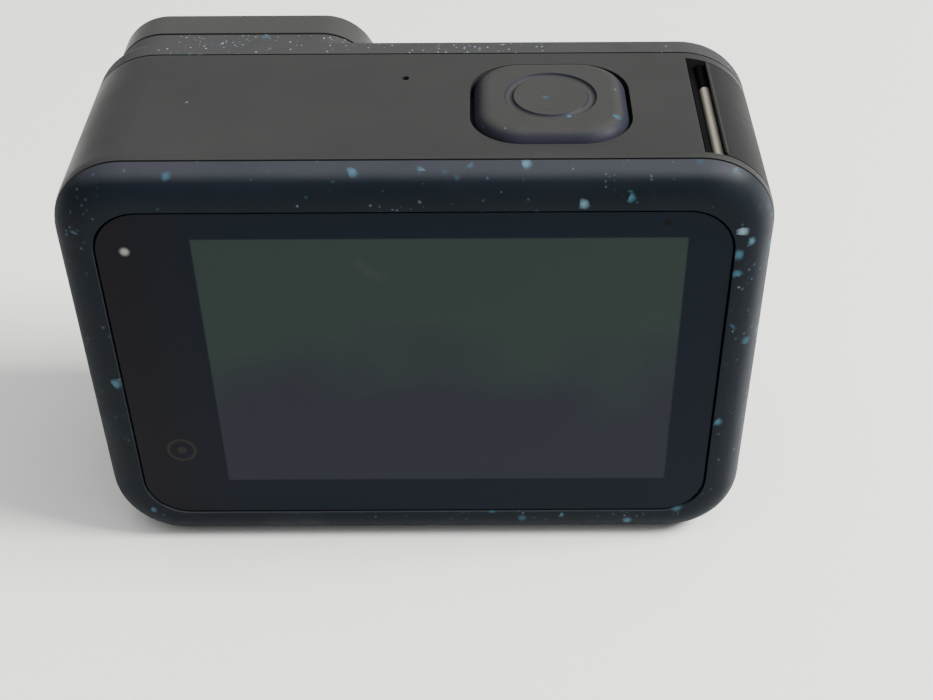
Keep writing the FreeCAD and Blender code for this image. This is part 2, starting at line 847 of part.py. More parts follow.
def mode_switch():
    stem_end = mode_cap_x + button_floor + mode_travel + press_room + button_seal_height + 0.5
    low = stem_end + mode_travel + press_room
    half = switch_size / 2
    boss_x = mode_floor_x + button_floor + button_seal_height
    reach = mode_stem_r + stem_hole_gap + button_seal_width + 0.2
    pad = rod("x", mode_y, mode_z, 1.3, low, low + switch_height)
    plate = box(low + 0.4, low + switch_height, mode_y - half, mode_y + half, mode_z - reach - 0.8,
                mode_z + reach + 0.8)
    legs = [box(boss_x, low + switch_height, mode_y - half, mode_y + half, z, z + 0.8)
            for z in (mode_z - reach - 0.8, mode_z + reach)]
    return fuse([plate, pad] + legs)


def door_hinge_clip():
    """The clip under the hinge pin. It is open above the pin, so that the door can be pulled off it."""
    clip_r = pin_r + running_gap + clip_wall
    clip = tube("y", pin_x, pin_z, clip_r, pin_r + running_gap, door_rear_y + 0.2, door_front_y)
    return clip.cut(box(pin_x - clip_r - 0.1, pin_x + pin_r * 0.9, door_rear_y - 1, door_front_y + 1, pin_z,
                        body_height + 1))


def door_panel():
    door = door_region(0, door_thickness, door_lip_x)
    clip_r = pin_r + running_gap + clip_wall
    door = door.cut(rod("y", pin_x, pin_z, clip_r, door_rear_y + 0.2, door_front_y))
    return door.cut(latch_pocket()).removeSplitter()


def latch_y():
    return (door_rear_y + door_front_y) / 2


def latch_pocket():
    half = latch_width / 2 + fit_gap
    top = latch_base_z + latch_height + latch_travel + fit_gap
    return box(half_width - latch_depth - fit_gap, half_width + 1, latch_y() - half, latch_y() + half,
               latch_base_z - fit_gap, top)


def door_latch():
    half = latch_width / 2
    low = half_width - latch_depth
    high = half_width + latch_proud
    latch = rounded("z", low, high, latch_y() - half, latch_y() + half, 0.3,
                    latch_base_z, latch_base_z + latch_height)
    for step in range(4):
        z = latch_base_z + 1.2 + step * 1.3
        latch = latch.cut(box(high - 0.25, high + 1, latch_y() - half + 1, latch_y() + half - 1, z, z + 0.5))
    return latch


def door_latch_spring():
    length = latch_travel + fit_gap
    pitch = length / spring_turns
    x = half_width - latch_depth / 2
    helix = Part.makeHelix(pitch, length - 2 * spring_wire_r, spring_r)
    profile = Part.Wire(Part.makeCircle(spring_wire_r, Vector(spring_r, 0, 0), Vector(0, 1, 0)))
    coil = Part.Wire(helix).makePipeShell([profile], True, True)
    coil.translate(Vector(x, latch_y(), latch_base_z + latch_height + spring_wire_r))
    return coil


def door_gasket():
    outer_y0 = door_window_y0 - door_gasket_width
    outer_y1 = door_window_y1 + door_gasket_width
    low = door_inner_x - gasket_height
    outer = rounded("x", outer_y0, outer_y1, door_window_base_z - door_gasket_width,
                    door_window_top_z + door_gasket_width, 2.3, low, door_inner_x)
    outer = outer.cut(rounded("x", door_window_y0, door_window_y1, door_window_base_z, door_window_top_z, 1.5,
                              low - 1, door_inner_x + 1))
    return outer.common(inset_casing(door_thickness, door_rear_y, door_front_y))


def door_hinge_pin():
    return rod("y", pin_x, pin_z, pin_r, door_rear_y - 0.8, door_front_y + 0.8)


def battery():
    cell = box(battery_x0, battery_x1, battery_y0, battery_y1, battery_z0, battery_z1)
    return cell.makeFillet(1.0, cell.Edges)


def battery_pull_tab():
    middle_y = (battery_y0 + battery_y1) / 2
    middle_z = (battery_z0 + battery_z1) / 2
    return rounded("x", middle_y - 2.5, middle_y + 2.5, middle_z - tab_width / 2, middle_z + tab_width / 2, 1.0,
                   battery_x1, battery_x1 + tab_thickness)


def battery_tray():
    outer = box(tray_x0, bay_x, tray_y0, tray_y1, tray_z0, tray_z1)
    inner = box(tray_x0 + tray_wall, bay_x + 1, tray_y0 + tray_wall, tray_y1 - tray_wall,
                tray_z0 + tray_wall, tray_z1 - tray_wall)
    tray = outer.cut(inner)
    # Small pads carry the battery clear of the walls
    pads = []
    middle_y = (battery_y0 + battery_y1) / 2
    for x in (battery_x0 + 6, battery_x1 - 6):
        pads.append(box(x - 2, x + 2, middle_y - 3, middle_y + 3, tray_z0 + tray_wall, battery_z0))
    return fuse([tray] + pads).common(cavity())


def battery_contacts():
    pads = []
    middle_y = (battery_y0 + battery_y1) / 2
    for index in range(contact_count):
        y = middle_y + (index - (contact_count - 1) / 2) * contact_pitch
        pads.append(box(tray_x0 + tray_wall, battery_x0, y - contact_size / 2, y + contact_size / 2,
                        battery_z0 + 4, battery_z0 + 7))
    return Part.makeCompound(pads)


def memory_card():
    x1 = bay_x + 0.25
    y1 = door_window_y1 - 0.6
    card = box(x1 - card_length, x1, y1 - card_thickness, y1, card_base_z, card_base_z + card_height)
    notch = box(x1 - 4, x1 - 3, y1 - card_thickness, y1, card_base_z + card_height - 0.6,
                card_base_z + card_height)
    return card.cut(notch)


def memory_card_socket():
    x1 = bay_x + 0.25 - card_reach
    y1 = door_window_y1 - 0.6
    inner_end = bay_x + 0.25 - card_length - card_travel - 0.2
    outer = box(inner_end - socket_wall, x1, y1 - card_thickness - card_gap - socket_wall, main_board_rear_y,
                card_base_z - card_gap - socket_wall, card_base_z + card_height + card_gap + socket_wall)
    slot = box(inner_end, x1 + 1, y1 - card_thickness - card_gap, y1 + card_gap,
               card_base_z - card_gap, card_base_z + card_height + card_gap)
    return outer.cut(slot)


def usb_port():
    x1 = bay_x + 0.5
    x0 = x1 - usb_length
    y1 = door_window_y1
    y0 = y1 - usb_depth
    shell = rounded("x", y0, y1, usb_base_z, usb_base_z + usb_height, usb_depth * 0.48, x0, x1)
    inner_r = usb_depth * 0.48 - usb_wall
    shell = shell.cut(rounded("x", y0 + usb_wall, y1 - usb_wall, usb_base_z + usb_wall,
                              usb_base_z + usb_height - usb_wall, inner_r, x0 + 1, x1 + 1))
    middle_y = (y0 + y1) / 2
    tongue = box(x0 + 0.5, x1 - 1.2, middle_y - 0.35, middle_y + 0.35, usb_base_z + 1.3,
                 usb_base_z + usb_height - 1.3)
    foot = box(x0 + 0.5, bay_x - 0.5, y1 - 0.2, main_board_rear_y,
               usb_base_z + 1.5, usb_base_z + usb_height - 1.5)
    return fuse([shell, tongue, foot])


def main_board():
    board = rounded("y", board_left_x, bay_x - 0.1, board_base_z, board_top_z, 1.0,
                    main_board_rear_y, board_front_y)
    for x, z in board_screw_places:
        board = board.cut(rod("y", x, z, screw_r, main_board_rear_y, board_front_y))
    for x, z in front_screw_places:
        board = board.cut(rod("y", x, z, screw_post_r + fit_gap, main_board_rear_y, board_front_y))
    return board


def shield_outline(inset, low, high):
    return box(board_left_x + 1 + inset, board_left_x + 1 + shield_width - inset, low, high,
               shield_base_z + inset, shield_top_z - inset)


def shield_can():
    low = main_board_rear_y - shield_depth
    return shield_outline(0, low, main_board_rear_y).cut(
        shield_outline(shield_wall, low + shield_wall, main_board_rear_y + 1))


def processor_outline(low, high):
    x = board_left_x + 1 + shield_width / 2
    z = (shield_base_z + shield_top_z) / 2
    half = processor_size / 2
    return box(x - half, x + half, low, high, z - half, z + half)


def processor():
    return processor_outline(main_board_rear_y - processor_thickness, main_board_rear_y)


def thermal_pad():
    return processor_outline(main_board_rear_y - shield_depth + shield_wall,
                             main_board_rear_y - processor_thickness)


def speaker():
    wall_x = -half_width + frame_wall
    middle_z = speaker_base_z + speaker_height / 2
    body = rounded("x", mode_y - speaker_length / 2, mode_y + speaker_length / 2, speaker_base_z,
                   speaker_base_z + speaker_height, 1.5, wall_x, wall_x + speaker_thickness)
    recess = rounded("x", mode_y - 3.4, mode_y + 3.4, middle_z - 3.6, middle_z + 3.6, 2.0,
                     wall_x - 1, wall_x + 0.6)
    return body.cut(recess)


def speaker_mesh():
    wall_x = -half_width + frame_wall
    return speaker_mesh_outline(wall_x - mesh_thickness, wall_x)


def mic_membranes():
    top = rod("z", mic_x, mic_y, membrane_r, ceiling_z - membrane_thickness, ceiling_z)
    front = rod("y", front_mic_x(), front_led_z(), membrane_r, inner_front_y - membrane_thickness,
                inner_front_y)
    return Part.makeCompound([top, front])


def microphones():
    half = mic_size / 2
    top_z = ceiling_z - membrane_thickness
    top = box(mic_x - half, mic_x + half, mic_y - half, mic_y + half, top_z - mic_thickness, top_z)
    x = front_mic_x()
    z = front_led_z()
    front = box(x - half, x + half, board_front_y, inner_front_y - membrane_thickness, z - half, z + half)
    return Part.makeCompound([top, front])


def gps_antenna():
    half = antenna_size / 2
    return rounded("z", antenna_x - half, antenna_x + half, antenna_y - half, antenna_y + half, 1.0,
                   ceiling_z - antenna_thickness, ceiling_z)


def display_flex():
    """A flat ribbon from the rear screen's bracket, past the battery tray, to the main board."""
    x0 = tray_x0 - 0.4 - flex_thickness
    top = flex_base_z + flex_width
    rear = rear_seam_y + bracket_thickness
    run = box(x0, x0 + flex_thickness, rear, main_board_rear_y, flex_base_z, top)
    tail = box(x0 - 4, x0 + flex_thickness, rear, rear + flex_thickness, flex_base_z, top)
    head = box(x0, board_left_x + 0.9, main_board_rear_y - flex_thickness, main_board_rear_y,
               flex_base_z, top)
    return fuse([run, tail, head])


def tripod_insert():
    insert = rod("z", 0, 0, insert_r, 0, insert_height)
    return insert.cut(rod("z", 0, 0, thread_r, -1, thread_depth))


def finger_pins():
    pins = []
    for side in (-1, 1):
        for y0, y1 in finger_pin_spans():
            pins.append(rod("y", side * finger_pivot_x, finger_pivot_z, finger_pin_r, y0, y1))
    return Part.makeCompound(pins)


def finger(side):
    """A fold-out mounting finger: side 1 lies towards +X, side -1 towards -X."""
    hole_x = finger_pivot_x + finger_reach
    plate = box(finger_pivot_x, hole_x, -finger_half_width, finger_half_width, 0, finger_thickness)
    knuckle = rod("y", finger_pivot_x, finger_pivot_z, finger_thickness / 2, -finger_half_width,
                  finger_half_width)
    end = rod("z", hole_x, 0, finger_half_width, 0, finger_thickness)
    solid = fuse([plate, knuckle, end])
    solid = solid.cut(box(-1, finger_cut_x, -finger_cut_y, finger_cut_y, -1, finger_thickness + 1))
    solid = solid.cut(rod("y", finger_pivot_x, finger_pivot_z, finger_pin_r + running_gap,
                          -finger_half_width - 1, finger_half_width + 1))
    solid = solid.cut(rod("z", hole_x, 0, finger_hole_r, -1, finger_thickness + 1))
    if side < 0:
        solid = solid.mirror(Vector(0, 0, 0), Vector(1, 0, 0))
    return solid


def finger_right():
    return finger(1)


def finger_left():
    return finger(-1)


def main():
    os.makedirs("parts", exist_ok=True)
    makers = [
        rear_shell, rear_glass, display_gasket, rear_lcd, rear_status_led, rear_lcd_bracket, mid_frame,
        front_shell, front_window, front_lcd, front_status_led, lens_cover_bezel, lens_cover_glass,
        lens_cover_seal, lens_holder, lens_barrel, lens_front_element, lens_retaining_ring,
        lens_rear_elements, ir_filter, image_sensor, sensor_board, heat_spreader, shutter_button,
        shutter_seal, shutter_switch, mode_button, mode_seal, mode_switch, door_panel, door_hinge_clip,
        door_latch, door_latch_spring, door_gasket, door_hinge_pin, battery, battery_pull_tab, battery_tray,
        battery_contacts, memory_card, memory_card_socket, usb_port, main_board, shield_can, processor,
        thermal_pad, speaker, speaker_mesh, mic_membranes, microphones, gps_antenna, display_flex,
        tripod_insert, finger_pins, finger_right, finger_left, rear_screws, front_screws, board_screws]
    for maker in makers:
        shape = maker()
        shape.exportStep("parts/" + maker.__name__ + ".step")
        print(maker.__name__, "valid" if shape.isValid() else "INVALID", len(shape.Solids),
              round(shape.Volume, 2))


main()
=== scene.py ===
"""Looks of the action camera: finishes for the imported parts, fine pieces, the viewpoint and the light."""

import json
import math

import bmesh
import bpy
from mathutils import Matrix, Vector


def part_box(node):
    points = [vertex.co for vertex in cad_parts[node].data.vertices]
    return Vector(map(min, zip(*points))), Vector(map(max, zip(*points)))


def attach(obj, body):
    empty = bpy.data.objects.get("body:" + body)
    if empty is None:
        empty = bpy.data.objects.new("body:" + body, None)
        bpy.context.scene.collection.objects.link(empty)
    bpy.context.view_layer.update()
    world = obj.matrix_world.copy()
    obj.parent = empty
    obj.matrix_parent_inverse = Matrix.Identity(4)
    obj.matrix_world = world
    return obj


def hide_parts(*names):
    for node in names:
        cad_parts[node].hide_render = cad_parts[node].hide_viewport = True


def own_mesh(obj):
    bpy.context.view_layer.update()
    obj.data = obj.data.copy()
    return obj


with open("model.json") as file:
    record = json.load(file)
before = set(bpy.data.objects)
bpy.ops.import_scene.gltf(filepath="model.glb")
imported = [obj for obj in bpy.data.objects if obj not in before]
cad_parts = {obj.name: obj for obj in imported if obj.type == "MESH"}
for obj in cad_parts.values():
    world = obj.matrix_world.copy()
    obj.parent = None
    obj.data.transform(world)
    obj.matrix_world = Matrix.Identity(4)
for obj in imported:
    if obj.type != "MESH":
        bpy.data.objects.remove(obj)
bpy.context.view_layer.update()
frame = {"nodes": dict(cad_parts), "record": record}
MM = 0.001

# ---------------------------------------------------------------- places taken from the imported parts


def corners(node):
    low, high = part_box(node)
    return Vector(low), Vector(high)


def middle(node):
    low, high = corners(node)
    return (low + high) / 2


glass_low, glass_high = corners("rear_glass")
lcd_low, lcd_high = corners("rear_lcd")
lens_centre = middle("lens_barrel")
pin_centre = middle("door_hinge_pin")

# ---------------------------------------------------------------- shader nodes


def feed(tree, value, socket):
    """Sets a constant on a socket, or links another socket to it."""
    if isinstance(value, (int, float, tuple)):
        socket.default_value = value
    else:
        tree.links.new(value, socket)


def math_node(tree, operation, first, second=None, clamp=False):
    node = tree.nodes.new("ShaderNodeMath")
    node.operation = operation
    node.use_clamp = clamp
    feed(tree, first, node.inputs[0])
    if second is not None:
        feed(tree, second, node.inputs[1])
    return node.outputs[0]


def add(tree, first, second):
    return math_node(tree, "ADD", first, second)


def subtract(tree, first, second):
    return math_node(tree, "SUBTRACT", first, second)


def multiply(tree, *factors):
    result = factors[0]
    for factor in factors[1:]:
        result = math_node(tree, "MULTIPLY", result, factor)
    return result


def divide(tree, first, second):
    return math_node(tree, "DIVIDE", first, second)


def noise(tree, vector, scale, detail=2.0, roughness=0.5):
    node = tree.nodes.new("ShaderNodeTexNoise")
    node.inputs["Detail"].default_value = detail
    node.inputs["Roughness"].default_value = roughness
    tree.links.new(vector, node.inputs["Vector"])
    feed(tree, scale, node.inputs["Scale"])
    return node.outputs


def ramp(tree, value, start, end):
    """Nought at start, one at end, smooth between."""
    node = tree.nodes.new("ShaderNodeMapRange")
    node.interpolation_type = "SMOOTHSTEP"
    node.clamp = True
    feed(tree, start, node.inputs["From Min"])
    feed(tree, end, node.inputs["From Max"])
    feed(tree, value, node.inputs["Value"])
    return node.outputs["Result"]


def mix(tree, factor, first, second, kind="RGBA"):
    """Blends two colours, or two vectors when kind is VECTOR."""
    node = tree.nodes.new("ShaderNodeMix")
    node.data_type = kind
    sockets = [socket for socket in node.inputs if socket.enabled]
    for value, socket in zip((factor, first, second), sockets):
        feed(tree, value, socket)
    return next(socket for socket in node.outputs if socket.enabled)


def parts_of(tree, vector):
    """The X, Y and Z of a vector."""
    split = tree.nodes.new("ShaderNodeSeparateXYZ")
    tree.links.new(vector, split.inputs["Vector"])
    return split.outputs


def distance_between(tree, first, second):
    node = tree.nodes.new("ShaderNodeVectorMath")
    node.operation = "DISTANCE"
    feed(tree, first, node.inputs[0])
    feed(tree, second, node.inputs[1])
    return node.outputs["Value"]


def random_cells(tree, vector, scale):
    """Cells scattered in space: the distance to the nearest centre, and three random values for it."""
    cells = tree.nodes.new("ShaderNodeTexVoronoi")
    tree.links.new(vector, cells.inputs["Vector"])
    feed(tree, scale, cells.inputs["Scale"])
    split = tree.nodes.new("ShaderNodeSeparateColor")
    tree.links.new(cells.outputs["Color"], split.inputs["Color"])
    return cells.outputs["Distance"], split.outputs["Red"], split.outputs["Green"], split.outputs["Blue"]


# ---------------------------------------------------------------- shader node groups


def new_group(name, inputs, outputs):
    """An empty shader group. Inputs are (name, default), None for a vector; outputs are names of values."""
    group = bpy.data.node_groups.new(name, "ShaderNodeTree")
    for label, default in inputs:
        kind = "NodeSocketVector" if default is None else "NodeSocketFloat"
        socket = group.interface.new_socket(name=label, in_out="INPUT", socket_type=kind)
        if default is not None:
            socket.default_value = default
    for label in outputs:
        group.interface.new_socket(name=label, in_out="OUTPUT", socket_type="NodeSocketFloat")
    entry = group.nodes.new("NodeGroupInput")
    leave = group.nodes.new("NodeGroupOutput")
    return group, entry.outputs, leave.inputs


def build_fleck_group():
    """Irregular flecks scattered through rubber, gathered in clusters. Scale is in cells per metre."""
    bend_scale, bend_share = 2200.0, 0.0003
    cluster_scale, cluster_start, cluster_end = 95.0, 0.40, 0.68
    stray_share, least_size = 0.16, 0.35
    group, entry, leave = new_group(
        "Rubber flecks",
        [("Vector", None), ("Scale", 900.0), ("Amount", 0.2), ("Size", 0.3), ("Sharpness", 0.3)],
        ["Mask", "Tint"])
    bend = noise(group, entry["Vector"], bend_scale)["Color"]
    bent = mix(group, bend_share, entry["Vector"], bend, "VECTOR")
    distance, chance, size, tint = random_cells(group, bent, entry["Scale"])
    gathered = ramp(group, noise(group, entry["Vector"], cluster_scale)["Fac"], cluster_start, cluster_end)
    share = multiply(group, add(group, gathered, stray_share), entry["Amount"])
    chosen = math_node(group, "LESS_THAN", chance, share)
    radius = multiply(group, add(group, size, least_size), entry["Size"])
    core = multiply(group, radius, entry["Sharpness"])
    inside = subtract(group, 1.0, ramp(group, distance, core, radius))
    group.links.new(multiply(group, chosen, inside), leave["Mask"])
    group.links.new(tint, leave["Tint"])
    return group


def build_grain_group():
    """The fine texture of a mould: a height for bump, and a slow variation for roughness and colour."""
    slow_scale = 60.0
    group, entry, leave = new_group(
        "Mould grain", [("Vector", None), ("Scale", 6000.0)], ["Height", "Variation"])
    fine = noise(group, entry["Vector"], entry["Scale"], detail=3.0, roughness=0.6)
    slow = noise(group, entry["Vector"], slow_scale, detail=4.0, roughness=0.6)
    group.links.new(fine["Fac"], leave["Height"])
    group.links.new(slow["Fac"], leave["Variation"])
    return group


def build_smudge_group():
    """Where hands have rubbed: broad soft patches and a few streaks."""
    softness = 0.18
    group, entry, leave = new_group(
        "Hand smudges", [("Vector", None), ("Scale", 55.0), ("Edge", 0.5)], ["Mask"])
    stretch = group.nodes.new("ShaderNodeMapping")
    stretch.inputs["Rotation"].default_value = (0.3, 0.5, 0.7)
    stretch.inputs["Scale"].default_value = (1.0, 1.6, 0.6)
    group.links.new(entry["Vector"], stretch.inputs["Vector"])
    broad = noise(group, stretch.outputs["Vector"], entry["Scale"], detail=4.0, roughness=0.62)["Fac"]
    mask = ramp(group, broad, entry["Edge"], add(group, entry["Edge"], softness))
    group.links.new(mask, leave["Mask"])
    return group


def build_dust_group():
    """Single pale dust specks, far apart."""
    largest_size = 0.07
    group, entry, leave = new_group(
        "Dust specks", [("Vector", None), ("Scale", 320.0), ("Amount", 0.06)], ["Mask"])
    distance, chance, size, _ = random_cells(group, entry["Vector"], entry["Scale"])
    chosen = math_node(group, "LESS_THAN", chance, entry["Amount"])
    speck = math_node(group, "LESS_THAN", distance, multiply(group, size, largest_size))
    group.links.new(multiply(group, chosen, speck), leave["Mask"])
    return group


def build_upward_highlight_group():
    """Painted highlight that greys what faces upwards, where the light from above falls: a slightly patchy
    mask from the surface's direction.

    Side adds the same painted highlight where the surface faces the door's side, towards the window light.
    """
    side_start, side_end = 0.40, 0.95
    patch_scale, patch_share, steady_share = 170.0, 0.6, 0.7
    group, entry, leave = new_group(
        "Painted upward highlight",
        [("Vector", None), ("Normal", None), ("Low", 0.55), ("High", 0.85), ("Side", 0.0)],
        ["Mask"])
    direction = parts_of(group, entry["Normal"])
    above = ramp(group, direction["Z"], entry["Low"], entry["High"])
    beside = multiply(group, ramp(group, direction["X"], side_start, side_end), entry["Side"])
    facing = math_node(group, "MAXIMUM", above, beside)
    patches = noise(group, entry["Vector"], patch_scale, detail=3.0, roughness=0.6)["Fac"]
    strength = add(group, multiply(group, patches, patch_share), steady_share)
    group.links.new(multiply(group, facing, strength), leave["Mask"])
    return group


def build_spot_group():
    """A soft round band about a point: one between the inner and outer radius, nought elsewhere."""
    group, entry, leave = new_group(
        "Round mark",
        [("Vector", None), ("Centre", None), ("Inner", 0.0), ("Outer", 0.001), ("Blur", 0.0002)],
        ["Mask"])
    inner, outer, blur = entry["Inner"], entry["Outer"], entry["Blur"]
    distance = distance_between(group, entry["Vector"], entry["Centre"])
    rise = ramp(group, distance, subtract(group, inner, blur), inner)
    fall = ramp(group, distance, outer, add(group, outer, blur))
    group.links.new(math_node(group, "SUBTRACT", rise, fall, clamp=True), leave["Mask"])
    return group


FLECKS = build_fleck_group()
# Painted highlight on what faces up, and on the window side.
UPWARD_HIGHLIGHT = build_upward_highlight_group()
SPOT = build_spot_group()
GRAIN = build_grain_group()
SMUDGE = build_smudge_group()
DUST = build_dust_group()

# ---------------------------------------------------------------- materials

# Where the slow variation of a finish turns from its dark to its light colour.
DRIFT_START, DRIFT_END = 0.3, 0.7

# Small, large and tiny flecks: cells per metre, size, sharpness, and a ramp of colours.
FLECK_LAYERS = [
    (2300.0, 0.46, 0.1, [(0.0, (0.010, 0.024, 0.036)), (0.7, (0.024, 0.044, 0.060)),
                         (1.0, (0.08, 0.10, 0.115))]),
    (900.0, 0.66, 0.0, [(0.0, (0.014, 0.050, 0.070)), (0.5, (0.032, 0.090, 0.130)),
                        (0.9, (0.070, 0.140, 0.180)), (1.0, (0.15, 0.22, 0.26))]),
    (3600.0, 0.50, 0.2, [(0.0, (0.07, 0.12, 0.14)), (0.6, (0.17, 0.21, 0.23)),
                         (1.0, (0.36, 0.39, 0.39))]),
]

RUBBER_DARK, RUBBER_LIGHT = (0.0026, 0.0048, 0.0078), (0.0040, 0.0066, 0.0105)
# Painted shade: the near black of the hinge slot's shadow, for the sheets in it and the clip.
SLOT_SHADE_BLACK = (0.002, 0.002, 0.0025)
DUST_GREY = (0.075, 0.075, 0.080)


def opaque(colour):
    """A colour with full alpha."""
    return (*colour, 1)


class Finish:
    """One material being built: its Principled shader, its Object coordinates and its helpers."""

    def __init__(self, name, colour, roughness, metallic=0.0, **settings):
        self.material = bpy.data.materials.new(name)
        self.material.use_nodes = True
        self.tree = self.material.node_tree
        self.shader = self.tree.nodes["Principled BSDF"]
        coordinates = self.tree.nodes.new("ShaderNodeTexCoord")
        self.place = coordinates.outputs["Object"]
        self.facing = coordinates.outputs["Normal"]
        self.shader.inputs["Base Color"].default_value = opaque(colour)
        self.shader.inputs["Roughness"].default_value = roughness
        self.shader.inputs["Metallic"].default_value = metallic
        for label, value in settings.items():
            self.shader.inputs[label.replace("_", " ")].default_value = value

    def link(self, value, label):
        self.tree.links.new(value, self.shader.inputs[label])

    def group(self, tree, **values):
        """Adds a shared group, fed with the surface's place and direction, and gives its outputs."""
        node = self.tree.nodes.new("ShaderNodeGroup")
        node.node_tree = tree
        self.tree.links.new(self.place, node.inputs["Vector"])
        if "Normal" in node.inputs:
            self.tree.links.new(self.facing, node.inputs["Normal"])
        for label, value in values.items():
            node.inputs[label].default_value = value
        return node.outputs

    def bump(self, height, distance, strength):
        node = self.tree.nodes.new("ShaderNodeBump")
        node.inputs["Distance"].default_value = distance
        node.inputs["Strength"].default_value = strength
        self.tree.links.new(height, node.inputs["Height"])
        self.link(node.outputs["Normal"], "Normal")

    def vary(self, value, low, high, label="Roughness"):
        """Feeds a socket with a value that runs from low to high over the surface."""
        node = self.tree.nodes.new("ShaderNodeMapRange")
        node.inputs["To Min"].default_value = low
        node.inputs["To Max"].default_value = high
        self.tree.links.new(value, node.inputs["Value"])
        self.link(node.outputs["Result"], label)

    def smudge(self, scale, edge, clean, rubbed):
        """Roughness that turns from clean to rubbed in the hand smudges."""
        self.vary(self.group(SMUDGE, Scale=scale, Edge=edge)["Mask"], clean, rubbed)

    def colours(self, value, stops):
        """The colour that a value picks from stops of (position, colour)."""
        node = self.tree.nodes.new("ShaderNodeValToRGB")
        points = node.color_ramp.elements
        while len(points) < len(stops):
            points.new(0.5)
        for point, (position, colour) in zip(points, stops):
            point.position = position
            point.color = opaque(colour)
        self.tree.links.new(value, node.inputs["Fac"])
        return node.outputs["Color"]

    def drift(self, grain, dark, light):
        """A colour that wanders slowly between two shades."""
        return self.colours(grain["Variation"], [(DRIFT_START, dark), (DRIFT_END, light)])

    def within(self, value, low, high, blur):
        """One between two places, nought outside, with soft edges."""
        return multiply(self.tree, ramp(self.tree, value, low - blur, low + blur),
                        ramp(self.tree, value, high + blur, high - blur))


def speckled(name, dark, light, highlight_colour, facing, side=0.0, large=0.1, small=0.2, tiny=0.0):
    """Rubber with pale blue and teal flecks moulded in, with a painted highlight greying it where it faces
    up.
    """
    finish = Finish(name, dark, 0.55, Specular_IOR_Level=0.08)
    grain = finish.group(GRAIN, Scale=5200.0)
    # Painted highlight: grey laid over what faces up, and over the window side, for the light that falls
    # there.
    highlight = finish.group(UPWARD_HIGHLIGHT, Low=facing[0], High=facing[1], Side=side)
    colour = mix(finish.tree, highlight["Mask"], finish.drift(grain, dark, light), opaque(highlight_colour))
    for amount, (scale, size, sharpness, stops) in zip((small, large, tiny), FLECK_LAYERS):
        if amount:
            scatter = finish.group(FLECKS, Scale=scale, Amount=amount, Size=size, Sharpness=sharpness)
            colour = mix(finish.tree, scatter["Mask"], colour, finish.colours(scatter["Tint"], stops))
    finish.link(colour, "Base Color")
    finish.smudge(scale=70.0, edge=0.46, clean=0.58, rubbed=0.48)
    finish.bump(grain["Height"], distance=0.04 * MM, strength=0.5)
    return finish.material


def moulded(name, dark, light, rough, grain_scale=6000.0, grain_height=0.03 * MM, dust=0.0, specular=0.4):
    """A moulded plastic or rubber with a fine grain, slow colour drift and rubbed patches."""
    rubbed_share = 0.84
    finish = Finish(name, dark, rough, Specular_IOR_Level=specular)
    grain = finish.group(GRAIN, Scale=grain_scale)
    colour = finish.drift(grain, dark, light)
    if dust:
        specks = finish.group(DUST, Scale=300.0, Amount=dust)
        colour = mix(finish.tree, specks["Mask"], colour, opaque(DUST_GREY))
    finish.link(colour, "Base Color")
    finish.smudge(scale=48.0, edge=0.48, clean=rough, rubbed=rough * rubbed_share)
    finish.bump(grain["Height"], grain_height, strength=0.7)
    return finish.material


def metal(name, dark, light, rough, metallic=1.0, grain_scale=2500.0, relief=0.5):
    """A metal with a fine drawn or stamped texture."""
    finish = Finish(name, dark, rough, metallic)
    grain = finish.group(GRAIN, Scale=grain_scale)
    finish.link(finish.drift(grain, dark, light), "Base Color")
    finish.vary(grain["Height"], rough * 0.8, rough * 1.2)
    finish.bump(grain["Height"], distance=0.01 * MM, strength=relief)
    return finish.material


def panel_shade(finish, height_above, panel_box, upper, lower):
    """An unlit panel's colour: one shade above, another below, with an uneven boundary."""
    boundary_start, boundary_end, unevenness, drift_scale = 0.30, 0.58, 0.9, 42.0
    tree = finish.tree
    start, end = panel_box
    level = divide(tree, subtract(tree, height_above, start.z), end.z - start.z)
    drift = noise(tree, finish.place, drift_scale, detail=5.0, roughness=0.6)["Fac"]
    uneven = multiply(tree, subtract(tree, drift, 0.5), unevenness)
    return finish.colours(add(tree, level, uneven), [(boundary_start, lower), (boundary_end, upper)])


def bonded_glass(name, glass_box, panel_box, upper, lower):
    """Dark glass bonded to its display: the unlit panel inside, the black print around it."""
    print_left, print_right = (0.0030, 0.0024, 0.0048), (0.0008, 0.0034, 0.0085)
    edge_blur, turn_width = 0.12 * MM, 4 * MM
    finish = Finish(name, (0.004, 0.004, 0.006), 0.08, Specular_IOR_Level=0.07)
    point = parts_of(finish.tree, finish.place)
    panel_low, panel_high = panel_box
    rightness = ramp(finish.tree, point["X"], glass_box[0].x, panel_low.x + turn_width)
    print_colour = mix(finish.tree, rightness, opaque(print_left), opaque(print_right))
    panel_colour = panel_shade(finish, point["Z"], panel_box, upper, lower)
    across = finish.within(point["X"], panel_low.x, panel_high.x, edge_blur)
    upright = finish.within(point["Z"], panel_low.z, panel_high.z, edge_blur)
    colour = mix(finish.tree, multiply(finish.tree, across, upright), print_colour, panel_colour)
    finish.smudge(scale=40.0, edge=0.5, clean=0.05, rubbed=0.16)
    return finish, colour, point


def water_mark(finish, point):
    """The dried edge of a drop: the lower left quarter of a thin soft ring."""
    centre_x, centre_z = lcd_low.x + 19.1 * MM, lcd_high.z - 1.8 * MM
    inner, outer, blur = 2.75 * MM, 2.95 * MM, 0.55 * MM
    ring = finish.group(SPOT, Centre=(centre_x, glass_low.y, centre_z), Inner=inner, Outer=outer, Blur=blur)
    left_part = ramp(finish.tree, point["X"], centre_x + 0.6 * MM, centre_x - 1.0 * MM)
    lower_part = ramp(finish.tree, point["Z"], centre_z + 0.2 * MM, centre_z - 1.6 * MM)
    return multiply(finish.tree, left_part, lower_part, ring["Mask"])


